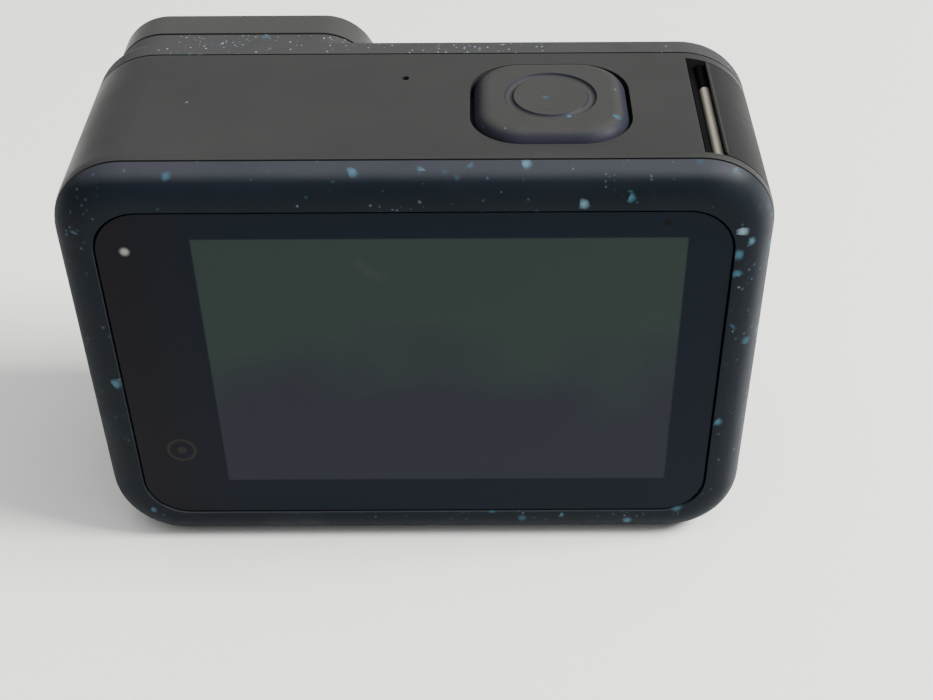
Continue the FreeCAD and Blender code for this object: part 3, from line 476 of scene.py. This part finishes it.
def rear_screen():
    """The rear glass: panel, status light, light sensor, a plain ring-and-dot mark and a dried water mark."""
    finish, colour, point = bonded_glass("Rear screen glass", (glass_low, glass_high), (lcd_low, lcd_high),
                                         (0.0150, 0.0243, 0.0218), (0.0124, 0.0142, 0.0212))
    light = middle("rear_status_led")
    light_place = (light.x, glass_low.y, light.z)
    sensor_place = (lcd_high.x - 2.2 * MM, glass_low.y, glass_high.z - 1.4 * MM)
    mark_place = (glass_low.x + 4.9 * MM, glass_low.y, glass_low.z + 9.6 * MM)
    light_white, sensor_black = (0.20, 0.20, 0.195), (0.0004, 0.0002, 0.0002)
    mark_grey, water_grey = (0.0130, 0.0115, 0.0100), (0.019, 0.028, 0.025)
    # Each mark: its centre, its inner and outer radius and the blur of its edges in mm, and its colour.
    marks = [
        (light_place, 0.0, 0.12, 0.55, light_white),
        (sensor_place, 0.0, 0.25, 0.25, sensor_black),
        (mark_place, 1.35, 1.60, 0.10, mark_grey),
        (mark_place, 0.0, 0.45, 0.10, mark_grey)]
    for centre, inner, outer, blur, shade in marks:
        spot = finish.group(SPOT, Centre=centre, Inner=inner * MM, Outer=outer * MM, Blur=blur * MM)
        colour = mix(finish.tree, spot["Mask"], colour, opaque(shade))
    finish.link(mix(finish.tree, water_mark(finish, point), colour, opaque(water_grey)), "Base Color")
    return finish.material


def front_screen():
    """The small front window over its own unlit panel."""
    finish, colour, _ = bonded_glass("Front screen glass", corners("front_window"), corners("front_lcd"),
                                     (0.0100, 0.0112, 0.0122), (0.0080, 0.0085, 0.0100))
    finish.link(colour, "Base Color")
    return finish.material


def coated_lens():
    """The front element: dark glass with a violet coating, and painted on it the elements behind: shade in
    the depths, a violet reflection and glints on their steps.
    """
    pupil, iris, iris_edge = (0.0008, 0.0008, 0.0012), (0.020, 0.010, 0.050), (0.006, 0.010, 0.030)
    well_shade, step_glint = (0.0030, 0.0030, 0.0055), (0.014, 0.014, 0.018)
    # Painted light and shade of the lens's inside: a near-black centre and dark wells of shade, a violet ring
    # of painted reflection and thin paler steps of painted glint.
    rings = [(0.0, pupil), (0.20, pupil), (0.25, iris), (0.33, iris_edge), (0.50, well_shade), (0.52, step_glint),
             (0.55, well_shade), (0.72, well_shade), (0.74, step_glint), (0.77, well_shade), (0.95, well_shade), (1.0, step_glint)]
    low, high = corners("lens_front_element")
    finish = Finish("Coated lens glass", (0.004, 0.004, 0.010), 0.03, Specular_IOR_Level=0.45,
                    Specular_Tint=(0.72, 0.62, 1.0, 1))
    flat = finish.tree.nodes.new("ShaderNodeVectorMath")
    flat.operation = "MULTIPLY"
    flat.inputs[1].default_value = (1, 0, 1)
    finish.tree.links.new(finish.place, flat.inputs[0])
    away = distance_between(finish.tree, flat.outputs["Vector"], (lens_centre.x, 0, lens_centre.z))
    outward = divide(finish.tree, away, (high.x - low.x) / 2)
    finish.link(finish.colours(outward, rings), "Base Color")
    finish.smudge(scale=90.0, edge=0.52, clean=0.02, rubbed=0.08)
    return finish.material


def clear_glass(name, tint, index=1.5):
    """Clear glass with faint finger marks."""
    finish = Finish(name, tint, 0.02, Transmission_Weight=1.0, IOR=index)
    finish.smudge(scale=90.0, edge=0.52, clean=0.02, rubbed=0.06)
    return finish.material


def unlit_panel(name, upper, lower, panel_box):
    """A bare display panel, switched off."""
    finish = Finish(name, upper, 0.4, Specular_IOR_Level=0.2)
    height_above = parts_of(finish.tree, finish.place)["Z"]
    finish.link(panel_shade(finish, height_above, panel_box, upper, lower), "Base Color")
    return finish.material


def hinge_clip():
    """Painted shade, black, where the clip lies in the slot, and the casing's grey where the clip meets the
    door.
    """
    turn_start, turn_end = pin_centre.x + 0.60 * MM, pin_centre.x + 0.70 * MM
    finish = Finish("Hinge clip", SLOT_SHADE_BLACK, 0.6, Specular_IOR_Level=0.1)
    grain = finish.group(GRAIN, Scale=7000.0)
    grey = finish.drift(grain, (0.014, 0.014, 0.014), (0.018, 0.018, 0.018))
    outer = ramp(finish.tree, parts_of(finish.tree, finish.place)["X"], turn_start, turn_end)
    # Painted shade: black inside the slot, turning to the casing's grey at the door.
    finish.link(mix(finish.tree, outer, opaque(SLOT_SHADE_BLACK), grey), "Base Color")
    finish.bump(grain["Height"], distance=0.025 * MM, strength=0.6)
    return finish.material


def charging_port():
    """A stamped steel shell around a black tongue with gold contact strips on its two broad faces."""
    steel, black, gold = (0.50, 0.50, 0.51), (0.008, 0.008, 0.009), (0.80, 0.58, 0.24)
    shell_depth, tongue_half, end_gap = 3.2 * MM, 0.40 * MM, 1.1 * MM
    strip_pitch, strip_share, strip_margin, blur = 0.5 * MM, 0.55, 0.45 * MM, 0.02 * MM
    least_facing = 0.7
    low, high = corners("usb_port")
    centre_y = low.y + shell_depth / 2
    tongue_base, tongue_top = low.z + end_gap, high.z - end_gap
    finish = Finish("Charging port", steel, 0.3)
    tree = finish.tree
    point = parts_of(tree, finish.place)
    across = finish.within(point["Y"], centre_y - tongue_half, centre_y + tongue_half, blur)
    upright = finish.within(point["Z"], tongue_base, tongue_top, blur)
    inward = finish.within(point["X"], low.x + end_gap, high.x - end_gap, blur)
    tongue = multiply(tree, across, upright, inward)
    cycles = divide(tree, subtract(tree, point["Z"], low.z), strip_pitch)
    strips = math_node(tree, "LESS_THAN", math_node(tree, "FRACT", cycles), strip_share)
    facing_y = math_node(tree, "ABSOLUTE", parts_of(tree, finish.facing)["Y"])
    broad = math_node(tree, "GREATER_THAN", facing_y, least_facing)
    middle_part = finish.within(point["Z"], tongue_base + strip_margin, tongue_top - strip_margin, blur)
    contacts = multiply(tree, strips, broad, middle_part)
    plastic = multiply(tree, tongue, subtract(tree, 1.0, contacts))
    tongue_colour = mix(tree, contacts, opaque(black), opaque(gold))
    finish.link(mix(tree, tongue, opaque(steel), tongue_colour), "Base Color")
    finish.vary(plastic, 1.0, 0.0, "Metallic")
    return finish.material


def circuit_board():
    """Dark green solder mask with paler copper traces under it."""
    trace_start, trace_end = 0.04, 0.08
    finish = Finish("Solder mask", (0.008, 0.05, 0.03), 0.35)
    cells = finish.tree.nodes.new("ShaderNodeTexVoronoi")
    cells.distance = "CHEBYCHEV"
    cells.feature = "DISTANCE_TO_EDGE"
    cells.inputs["Scale"].default_value = 420.0
    finish.tree.links.new(finish.place, cells.inputs["Vector"])
    trace = ramp(finish.tree, cells.outputs["Distance"], trace_start, trace_end)
    finish.link(mix(finish.tree, trace, (0.03, 0.12, 0.06, 1), (0.006, 0.045, 0.025, 1)), "Base Color")
    finish.bump(trace, distance=0.02 * MM, strength=0.6)
    return finish.material


def woven(name, dark, light, pitch):
    """A fine woven mesh."""
    finish = Finish(name, dark, 0.45, 0.8)
    waves = []
    for direction in ("X", "Y", "Z"):
        wave = finish.tree.nodes.new("ShaderNodeTexWave")
        wave.bands_direction = direction
        wave.inputs["Scale"].default_value = pitch
        finish.tree.links.new(finish.place, wave.inputs["Vector"])
        waves.append(wave.outputs["Fac"])
    weave = multiply(finish.tree, math_node(finish.tree, "MAXIMUM", waves[0], waves[1]), waves[2])
    finish.link(finish.colours(weave, [(0.2, dark), (0.8, light)]), "Base Color")
    finish.bump(weave, distance=0.03 * MM, strength=0.8)
    return finish.material


def casing_finishes():
    """What the camera shows from outside."""
    return {
        # For each rubber the fourth colour is its painted highlight, the pair after it the upward facing
        # where that highlight starts and is full, and side paints it on the window side too.
        "speckled_rubber": speckled("Speckled rubber", RUBBER_DARK, RUBBER_LIGHT, (0.026, 0.0275, 0.0345),
                                    (0.58, 0.84), side=1.0, large=0.12, small=0.16),
        "front_rubber": speckled("Front speckled rubber", RUBBER_DARK, RUBBER_LIGHT, (0.037, 0.037, 0.038),
                                 (0.35, 0.80), side=0.6, large=0.08, small=0.14, tiny=0.18),
        "button_rubber": speckled("Button rubber", (0.012, 0.013, 0.020), (0.015, 0.016, 0.024),
                                  (0.031, 0.031, 0.030), (0.72, 0.97), large=0.03, small=0.16),
        "frame_plastic": moulded("Frame plastic", (0.0160, 0.0160, 0.0158), (0.0202, 0.0202, 0.0200), 0.5,
                                 7000.0, 0.025 * MM, dust=0.05, specular=0.3),
        # Painted shade: the door is the frame's plastic made darker and less shiny, to hold down the window
        # light falling on it.
        "shaded_door_plastic": moulded("Door plastic painted darker", (0.0090, 0.0090, 0.0097), (0.0120, 0.0120, 0.0127), 0.62,
                                7000.0, 0.025 * MM, dust=0.03, specular=0.12),
        "hinge_clip": hinge_clip(),
        "latch_plastic": moulded("Latch plastic", (0.018, 0.018, 0.019), (0.022, 0.022, 0.023), 0.5),
        "cover_plastic": moulded("Lens cover plastic", (0.0255, 0.0250, 0.0240), (0.0305, 0.0300, 0.0288),
                                 0.42, 8000.0, 0.015 * MM),
        "finger_plastic": moulded("Finger plastic", (0.018, 0.018, 0.019), (0.023, 0.023, 0.024), 0.55),
        "pin_steel": metal("Plated pin steel", (0.38, 0.35, 0.28), (0.46, 0.42, 0.34), 0.35,
                           metallic=0.35, grain_scale=4000.0, relief=0.4),
        "insert_brass": metal("Machined insert", (0.55, 0.53, 0.50), (0.66, 0.64, 0.60), 0.28),
        # Painted shade: a matt black for the sheets laid in the hinge slot's shadow.
        "painted_slot_shade": moulded("Painted slot shade", SLOT_SHADE_BLACK, SLOT_SHADE_BLACK, 0.8, specular=0.05),
    }


def glass_finishes():
    """Glass, displays, lens parts and the prints on them."""
    return {
        "clear_glass": clear_glass("Lens cover glass", (0.95, 0.97, 1.0), index=1.22),
        "filter_glass": clear_glass("Filter glass", (0.55, 0.90, 0.88)),
        "lens_glass": coated_lens(),
        "screen_glass": rear_screen(),
        "front_glass": front_screen(),
        "rear_display": unlit_panel("Unlit rear panel", (0.045, 0.066, 0.058), (0.040, 0.046, 0.066),
                                    (lcd_low, lcd_high)),
        "front_display": unlit_panel("Unlit front panel", (0.020, 0.022, 0.024), (0.018, 0.018, 0.022),
                                     corners("front_lcd")),
        "black_mask": moulded("Printed black mask", (0.002, 0.003, 0.005), (0.003, 0.004, 0.007), 0.5),
        "gloss_print": moulded("Gloss print", (0.0015, 0.0020, 0.0030), (0.0022, 0.0028, 0.0040), 0.14,
                               grain_height=0.001 * MM, specular=0.10),
        "led_lens": moulded("Light lens", (0.86, 0.86, 0.83), (0.94, 0.94, 0.91), 0.35),
        "barrel_aluminium": metal("Black anodised barrel", (0.022, 0.022, 0.024), (0.032, 0.032, 0.035),
                                  0.38),
        "sensor_silicon": moulded("Sensor silicon", (0.05, 0.03, 0.09), (0.08, 0.06, 0.13), 0.2),
    }


def inner_finishes():
    """What is seen only with the door open or the camera apart."""
    return {
        "stamped_steel": metal("Stamped steel", (0.50, 0.50, 0.51), (0.60, 0.60, 0.61), 0.32),
        "charging_port": charging_port(),
        "screw_steel": metal("Blackened screw", (0.16, 0.16, 0.17), (0.24, 0.24, 0.25), 0.4),
        "switch_metal": metal("Plated switch", (0.60, 0.60, 0.60), (0.70, 0.70, 0.70), 0.25),
        "spring_steel": metal("Spring wire", (0.22, 0.22, 0.23), (0.30, 0.30, 0.31), 0.35),
        "contact_gold": metal("Gold contact", (0.78, 0.56, 0.22), (0.86, 0.64, 0.28), 0.2),
        "spreader_aluminium": metal("Milled spreader", (0.55, 0.55, 0.57), (0.65, 0.65, 0.67), 0.35),
        "seal_rubber": moulded("Seal rubber", (0.010, 0.010, 0.011), (0.016, 0.016, 0.017), 0.7),
        "battery_wrap": moulded("Battery wrap", (0.010, 0.020, 0.060), (0.014, 0.028, 0.080), 0.42),
        "tab_film": moulded("Pull tab film", (0.02, 0.14, 0.42), (0.03, 0.18, 0.50), 0.3),
        "tray_plastic": moulded("Tray plastic", (0.014, 0.014, 0.015), (0.020, 0.020, 0.021), 0.55),
        "card_plastic": moulded("Card plastic", (0.012, 0.012, 0.013), (0.018, 0.018, 0.019), 0.35),
        "chip_epoxy": moulded("Chip epoxy", (0.012, 0.012, 0.012), (0.018, 0.018, 0.018), 0.5),
        "thermal_silicone": moulded("Thermal silicone", (0.30, 0.33, 0.37), (0.36, 0.39, 0.43), 0.6),
        "speaker_plastic": moulded("Speaker plastic", (0.016, 0.016, 0.016), (0.022, 0.022, 0.022), 0.5),
        "antenna_ceramic": moulded("Antenna ceramic", (0.50, 0.40, 0.28), (0.60, 0.50, 0.36), 0.35),
        "flex_film": moulded("Flex film", (0.34, 0.15, 0.02), (0.42, 0.20, 0.03), 0.3),
        "circuit_board": circuit_board(),
        "mesh_steel": woven("Speaker mesh", (0.02, 0.02, 0.02), (0.20, 0.20, 0.20), 900.0),
        "membrane_film": woven("Vent membrane", (0.45, 0.45, 0.45), (0.62, 0.62, 0.62), 2000.0),
    }


MATERIALS = casing_finishes() | glass_finishes() | inner_finishes()

# Nodes whose finish is a variant of their slot's; the door's variant is a darker copy of the frame plastic,
# painted shade.
VARIANTS = {"front_shell": "front_rubber", "front_window": "front_glass", "door_panel": "shaded_door_plastic",
            "door_hinge_clip": "hinge_clip", "usb_port": "charging_port"}


def finish_nodes():
    """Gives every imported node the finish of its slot, or its own variant of it."""
    for entry in frame["record"]["subparts"]:
        piece = frame["nodes"][entry["node"]]
        piece.data.materials.clear()
        piece.data.materials.append(MATERIALS[VARIANTS.get(entry["node"], entry["material_slot"])])


# ---------------------------------------------------------------- fine pieces


def add_piece(name, bm, finish, body):
    """Makes an object from a finished bmesh, gives it its finish and lets it ride on its body."""
    bmesh.ops.recalc_face_normals(bm, faces=bm.faces)
    mesh = bpy.data.meshes.new(name)
    bm.to_mesh(mesh)
    bm.free()
    mesh.materials.append(MATERIALS[finish])
    piece = bpy.data.objects.new(name, mesh)
    bpy.context.collection.objects.link(piece)
    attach(piece, body)
    return piece


def slab(low, high, bevel=0.0):
    """A block between two corners, its edges eased by a bevel."""
    bm = bmesh.new()
    bmesh.ops.create_cube(bm, size=1.0)
    bmesh.ops.scale(bm, vec=high - low, verts=bm.verts)
    bmesh.ops.translate(bm, vec=(low + high) / 2, verts=bm.verts)
    if bevel:
        bmesh.ops.bevel(bm, geom=bm.edges[:], offset=bevel, offset_type="OFFSET", segments=2,
                        profile=0.5, affect="EDGES", material=-1)
    return bm


def tube(start, axis, inner, outer, length, steps=72):
    """A tube that runs along the axis from its start."""
    side = axis.orthogonal().normalized()
    outline = [(inner, 0), (outer, 0), (outer, length), (inner, length)]
    bm = bmesh.new()
    verts = [bm.verts.new(start + side * radius + axis * along) for radius, along in outline]
    edges = [bm.edges.new(pair) for pair in zip(verts, verts[1:] + verts[:1])]
    bmesh.ops.spin(bm, geom=edges + verts, cent=start, axis=axis, angle=math.tau, steps=steps,
                   use_merge=True)
    bmesh.ops.remove_doubles(bm, verts=bm.verts, dist=0.0005 * MM)
    return bm


def square_reach(direction, half, corner):
    """How far a rounded square reaches from its middle along a unit direction."""
    long_side, short_side = sorted((abs(direction.x), abs(direction.z)), reverse=True)
    reach = half / long_side
    if reach * short_side <= half - corner:
        return reach
    middle_of_arc = half - corner
    along = middle_of_arc * (long_side + short_side)
    return along + math.sqrt(along * along - 2 * middle_of_arc * middle_of_arc + corner * corner)


def shade_hinge_slot():
    """Painted shade in the hinge slot: black sheets on its floor and inner wall, and a black sleeve over the
    pin's far end.
    """
    inward, outward, depth, top_gap = 1.6 * MM, 0.6 * MM, 1.55 * MM, 0.12 * MM
    shade_thickness, sleeve_wall, sleeve_reach, sleeve_overrun = 0.04 * MM, 0.05 * MM, 4.6 * MM, 0.4 * MM
    frame_top = corners("mid_frame")[1].z
    pin_low, pin_high = corners("door_hinge_pin")
    door_low, door_high = corners("door_panel")
    slot_left, slot_right = pin_centre.x - inward, pin_centre.x + outward
    slot_floor = pin_centre.z - depth
    pieces = {
        "hinge_slot_floor_shade": slab(Vector((slot_left, door_low.y, slot_floor)),
                                        Vector((slot_right, door_high.y, slot_floor + shade_thickness))),
        "hinge_slot_wall_shade": slab(Vector((slot_left, door_low.y, slot_floor + shade_thickness)),
                                       Vector((slot_left + shade_thickness, door_high.y, frame_top - top_gap))),
    }
    pin_radius = (pin_high.x - pin_low.x) / 2
    sleeve_start = Vector((pin_centre.x, door_high.y - sleeve_reach, pin_centre.z))
    pieces["hinge_pin_sleeve"] = tube(sleeve_start, Vector((0, 1, 0)), pin_radius, pin_radius + sleeve_wall,
                                      sleeve_reach + sleeve_overrun)
    # Painted shade: each sheet is matt black where the slot lies in shadow.
    for name, bm in pieces.items():
        add_piece(name, bm, "painted_slot_shade", "camera")


def mask_lens_cover():
    """The gloss black print on the lens cover's glass: a rounded square with a round window."""
    window_radius, corner, edge_gap, print_thickness = 9.3 * MM, 4.1 * MM, 0.05 * MM, 0.03 * MM
    cover_low, cover_high = corners("lens_cover_glass")
    half = (cover_high.x - cover_low.x) / 2 - edge_gap
    centre = Vector((lens_centre.x, cover_high.y, lens_centre.z))
    bm = bmesh.new()
    bmesh.ops.create_circle(bm, cap_ends=False, radius=window_radius, segments=120,
                            matrix=Matrix.Translation(centre) @ Matrix.Rotation(math.pi / 2, 4, "X"))
    grown = bmesh.ops.extrude_edge_only(bm, edges=bm.edges[:])
    for vert in grown["geom"]:
        if isinstance(vert, bmesh.types.BMVert):
            direction = (vert.co - centre).normalized()
            vert.co = centre + direction * square_reach(direction, half, corner)
    front = bmesh.ops.extrude_face_region(bm, geom=bm.faces[:])
    bmesh.ops.translate(bm, vec=(0, print_thickness, 0),
                        verts=[part for part in front["geom"] if isinstance(part, bmesh.types.BMVert)])
    add_piece("lens_cover_print", bm, "gloss_print", "lens_cover")


def cut_tripod_thread():
    """The crest of the quarter-inch thread, wound up the tripod insert's bore."""
    pitch, turns, steps_per_turn = 1.27 * MM, 4, 36
    bore_radius, crest_radius, half_thickness, start = 2.56 * MM, 2.36 * MM, 0.2 * MM, 0.6 * MM
    bm = bmesh.new()
    profile = [bm.verts.new((bore_radius, 0, start)),
               bm.verts.new((crest_radius, 0, start + half_thickness)),
               bm.verts.new((bore_radius, 0, start + 2 * half_thickness))]
    first_end = bm.faces.new(profile)
    bmesh.ops.spin(bm, geom=[first_end] + first_end.edges[:] + profile, cent=(0, 0, 0), axis=(0, 0, 1),
                   dvec=(0, 0, pitch / steps_per_turn), angle=math.tau * turns,
                   steps=turns * steps_per_turn, use_merge=False)
    add_piece("tripod_thread_crest", bm, "insert_brass", "camera")


def rib_the_latch():
    """Three low grip ribs across the outside of the door latch."""
    rib_height, rib_half_width, rib_root, bevel = 0.14 * MM, 0.25 * MM, 0.05 * MM, 0.06 * MM
    pitch, inset = 1.3 * MM, 1.4 * MM
    low, high = corners("door_latch")
    for number in (-1, 0, 1):
        level = (low.z + high.z) / 2 + number * pitch
        rib = slab(Vector((high.x - rib_root, low.y + inset, level - rib_half_width)),
                   Vector((high.x + rib_height, high.y - inset, level + rib_half_width)), bevel)
        add_piece(f"door_latch_rib_{number + 2}", rib, "latch_plastic", "latch")


def wind_latch_spring():
    """The latch's return spring: an evenly wound coil of wire in place of the imported spring."""
    wire_radius, turns, steps_per_turn, closed_height = 0.09 * MM, 5, 30, 0.14 * MM
    low, high = corners("door_latch_spring")
    centre = (low + high) / 2
    coil_radius = (high.x - low.x) / 2 - wire_radius
    rise = high.z - low.z - 2 * wire_radius
    steps = turns * steps_per_turn
    start = Vector((centre.x + coil_radius, centre.y, low.z + wire_radius))
    bm = bmesh.new()
    bmesh.ops.create_circle(bm, cap_ends=True, radius=wire_radius, segments=10,
                            matrix=Matrix.Translation(start) @ Matrix.Rotation(math.pi / 2, 4, "X"))
    bmesh.ops.spin(bm, geom=bm.faces[:] + bm.edges[:] + bm.verts[:], cent=centre, axis=(0, 0, 1),
                   dvec=(0, 0, rise / steps), angle=math.tau * turns, steps=steps, use_merge=False)
    spring = add_piece("latch_return_spring", bm, "spring_steel", "door")
    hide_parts("door_latch_spring")
    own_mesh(spring)


def label_battery():
    """Two plain bands printed on the battery's end, where a label would sit."""
    side_gap, root, thickness = 2.5 * MM, 0.01 * MM, 0.03 * MM
    low, high = corners("battery")
    # Each band: its name, how far its lower edge lies below the battery's top, and its height, in mm.
    for name, drop, height in (("battery_band_wide", 6.0, 2.0), ("battery_band_narrow", 8.4, 0.6)):
        level = high.z - drop * MM
        band = slab(Vector((high.x - root, low.y + side_gap, level)),
                    Vector((high.x + thickness, high.y - side_gap, level + height * MM)))
        add_piece(name, band, "membrane_film", "camera")


def build_pieces():
    shade_hinge_slot()
    mask_lens_cover()
    cut_tripod_thread()
    rib_the_latch()
    wind_latch_spring()
    label_battery()


# ---------------------------------------------------------------- floor, light and viewpoint


def build_floor():
    """A pale table top with a fine grain."""
    half_width = 1.2
    bm = bmesh.new()
    bmesh.ops.create_grid(bm, x_segments=1, y_segments=1, size=half_width)
    mesh = bpy.data.meshes.new("table_top")
    bm.to_mesh(mesh)
    bm.free()
    floor = bpy.data.objects.new("table_top", mesh)
    bpy.context.collection.objects.link(floor)
    finish = Finish("Pale table", (0.83, 0.83, 0.805), 0.6)
    grain = finish.group(GRAIN, Scale=1500.0)
    finish.bump(grain["Height"], distance=0.1 * MM, strength=0.35)
    mesh.materials.append(finish.material)


def add_area_light(name, place, size, power, colour):
    """A rectangular light in metres and watts, aimed at the camera's lower half."""
    aim = Vector((0.0, 0.0, 0.02))
    data = bpy.data.lights.new(name, "AREA")
    data.shape = "RECTANGLE"
    data.size, data.size_y = size
    data.energy = power
    data.color = colour
    lamp = bpy.data.objects.new(name, data)
    bpy.context.collection.objects.link(lamp)
    lamp.location = place
    lamp.rotation_euler = (aim - Vector(place)).to_track_quat("-Z", "Y").to_euler()


def build_lights():
    """A pale room, a window to the right and a broad ceiling light."""
    world = bpy.data.worlds.new("Studio")
    bpy.context.scene.world = world
    world.use_nodes = True
    sky = world.node_tree.nodes["Background"].inputs
    sky["Color"].default_value = (0.93, 0.94, 0.94, 1)
    sky["Strength"].default_value = 0.53
    add_area_light("window_light", (0.85, -0.08, 0.80), (0.45, 0.45), 39.0, (1.0, 0.99, 0.965))
    add_area_light("ceiling_fill", (0.10, -0.20, 1.15), (1.2, 1.0), 9.5, (0.97, 0.985, 1.0))


def build_camera():
    """The viewpoint above the screen side, in millimetres and radians."""
    place = Vector((7.309, -132.326, 124.997)) * MM
    tilt, yaw, roll = 0.718, -0.002, -0.006
    forward = Vector((math.sin(yaw) * math.cos(tilt), math.cos(yaw) * math.cos(tilt), -math.sin(tilt)))
    level = Vector((math.cos(yaw), -math.sin(yaw), 0))
    upright = level.cross(forward)
    right = math.cos(roll) * level + math.sin(roll) * upright
    up = math.cos(roll) * upright - math.sin(roll) * level
    data = bpy.data.cameras.new("viewpoint")
    data.sensor_width = 36.0
    data.lens = 56.55
    data.shift_x = -0.0215
    data.shift_y = 0.0539
    data.clip_start = 0.005
    camera = bpy.data.objects.new("viewpoint", data)
    turn = Matrix((right, up, -forward)).transposed().to_4x4()
    camera.matrix_world = Matrix.Translation(place) @ turn
    bpy.context.collection.objects.link(camera)
    bpy.context.scene.camera = camera


finish_nodes()
build_pieces()
build_floor()
build_lights()
build_camera()

bpy.context.view_layer.update()
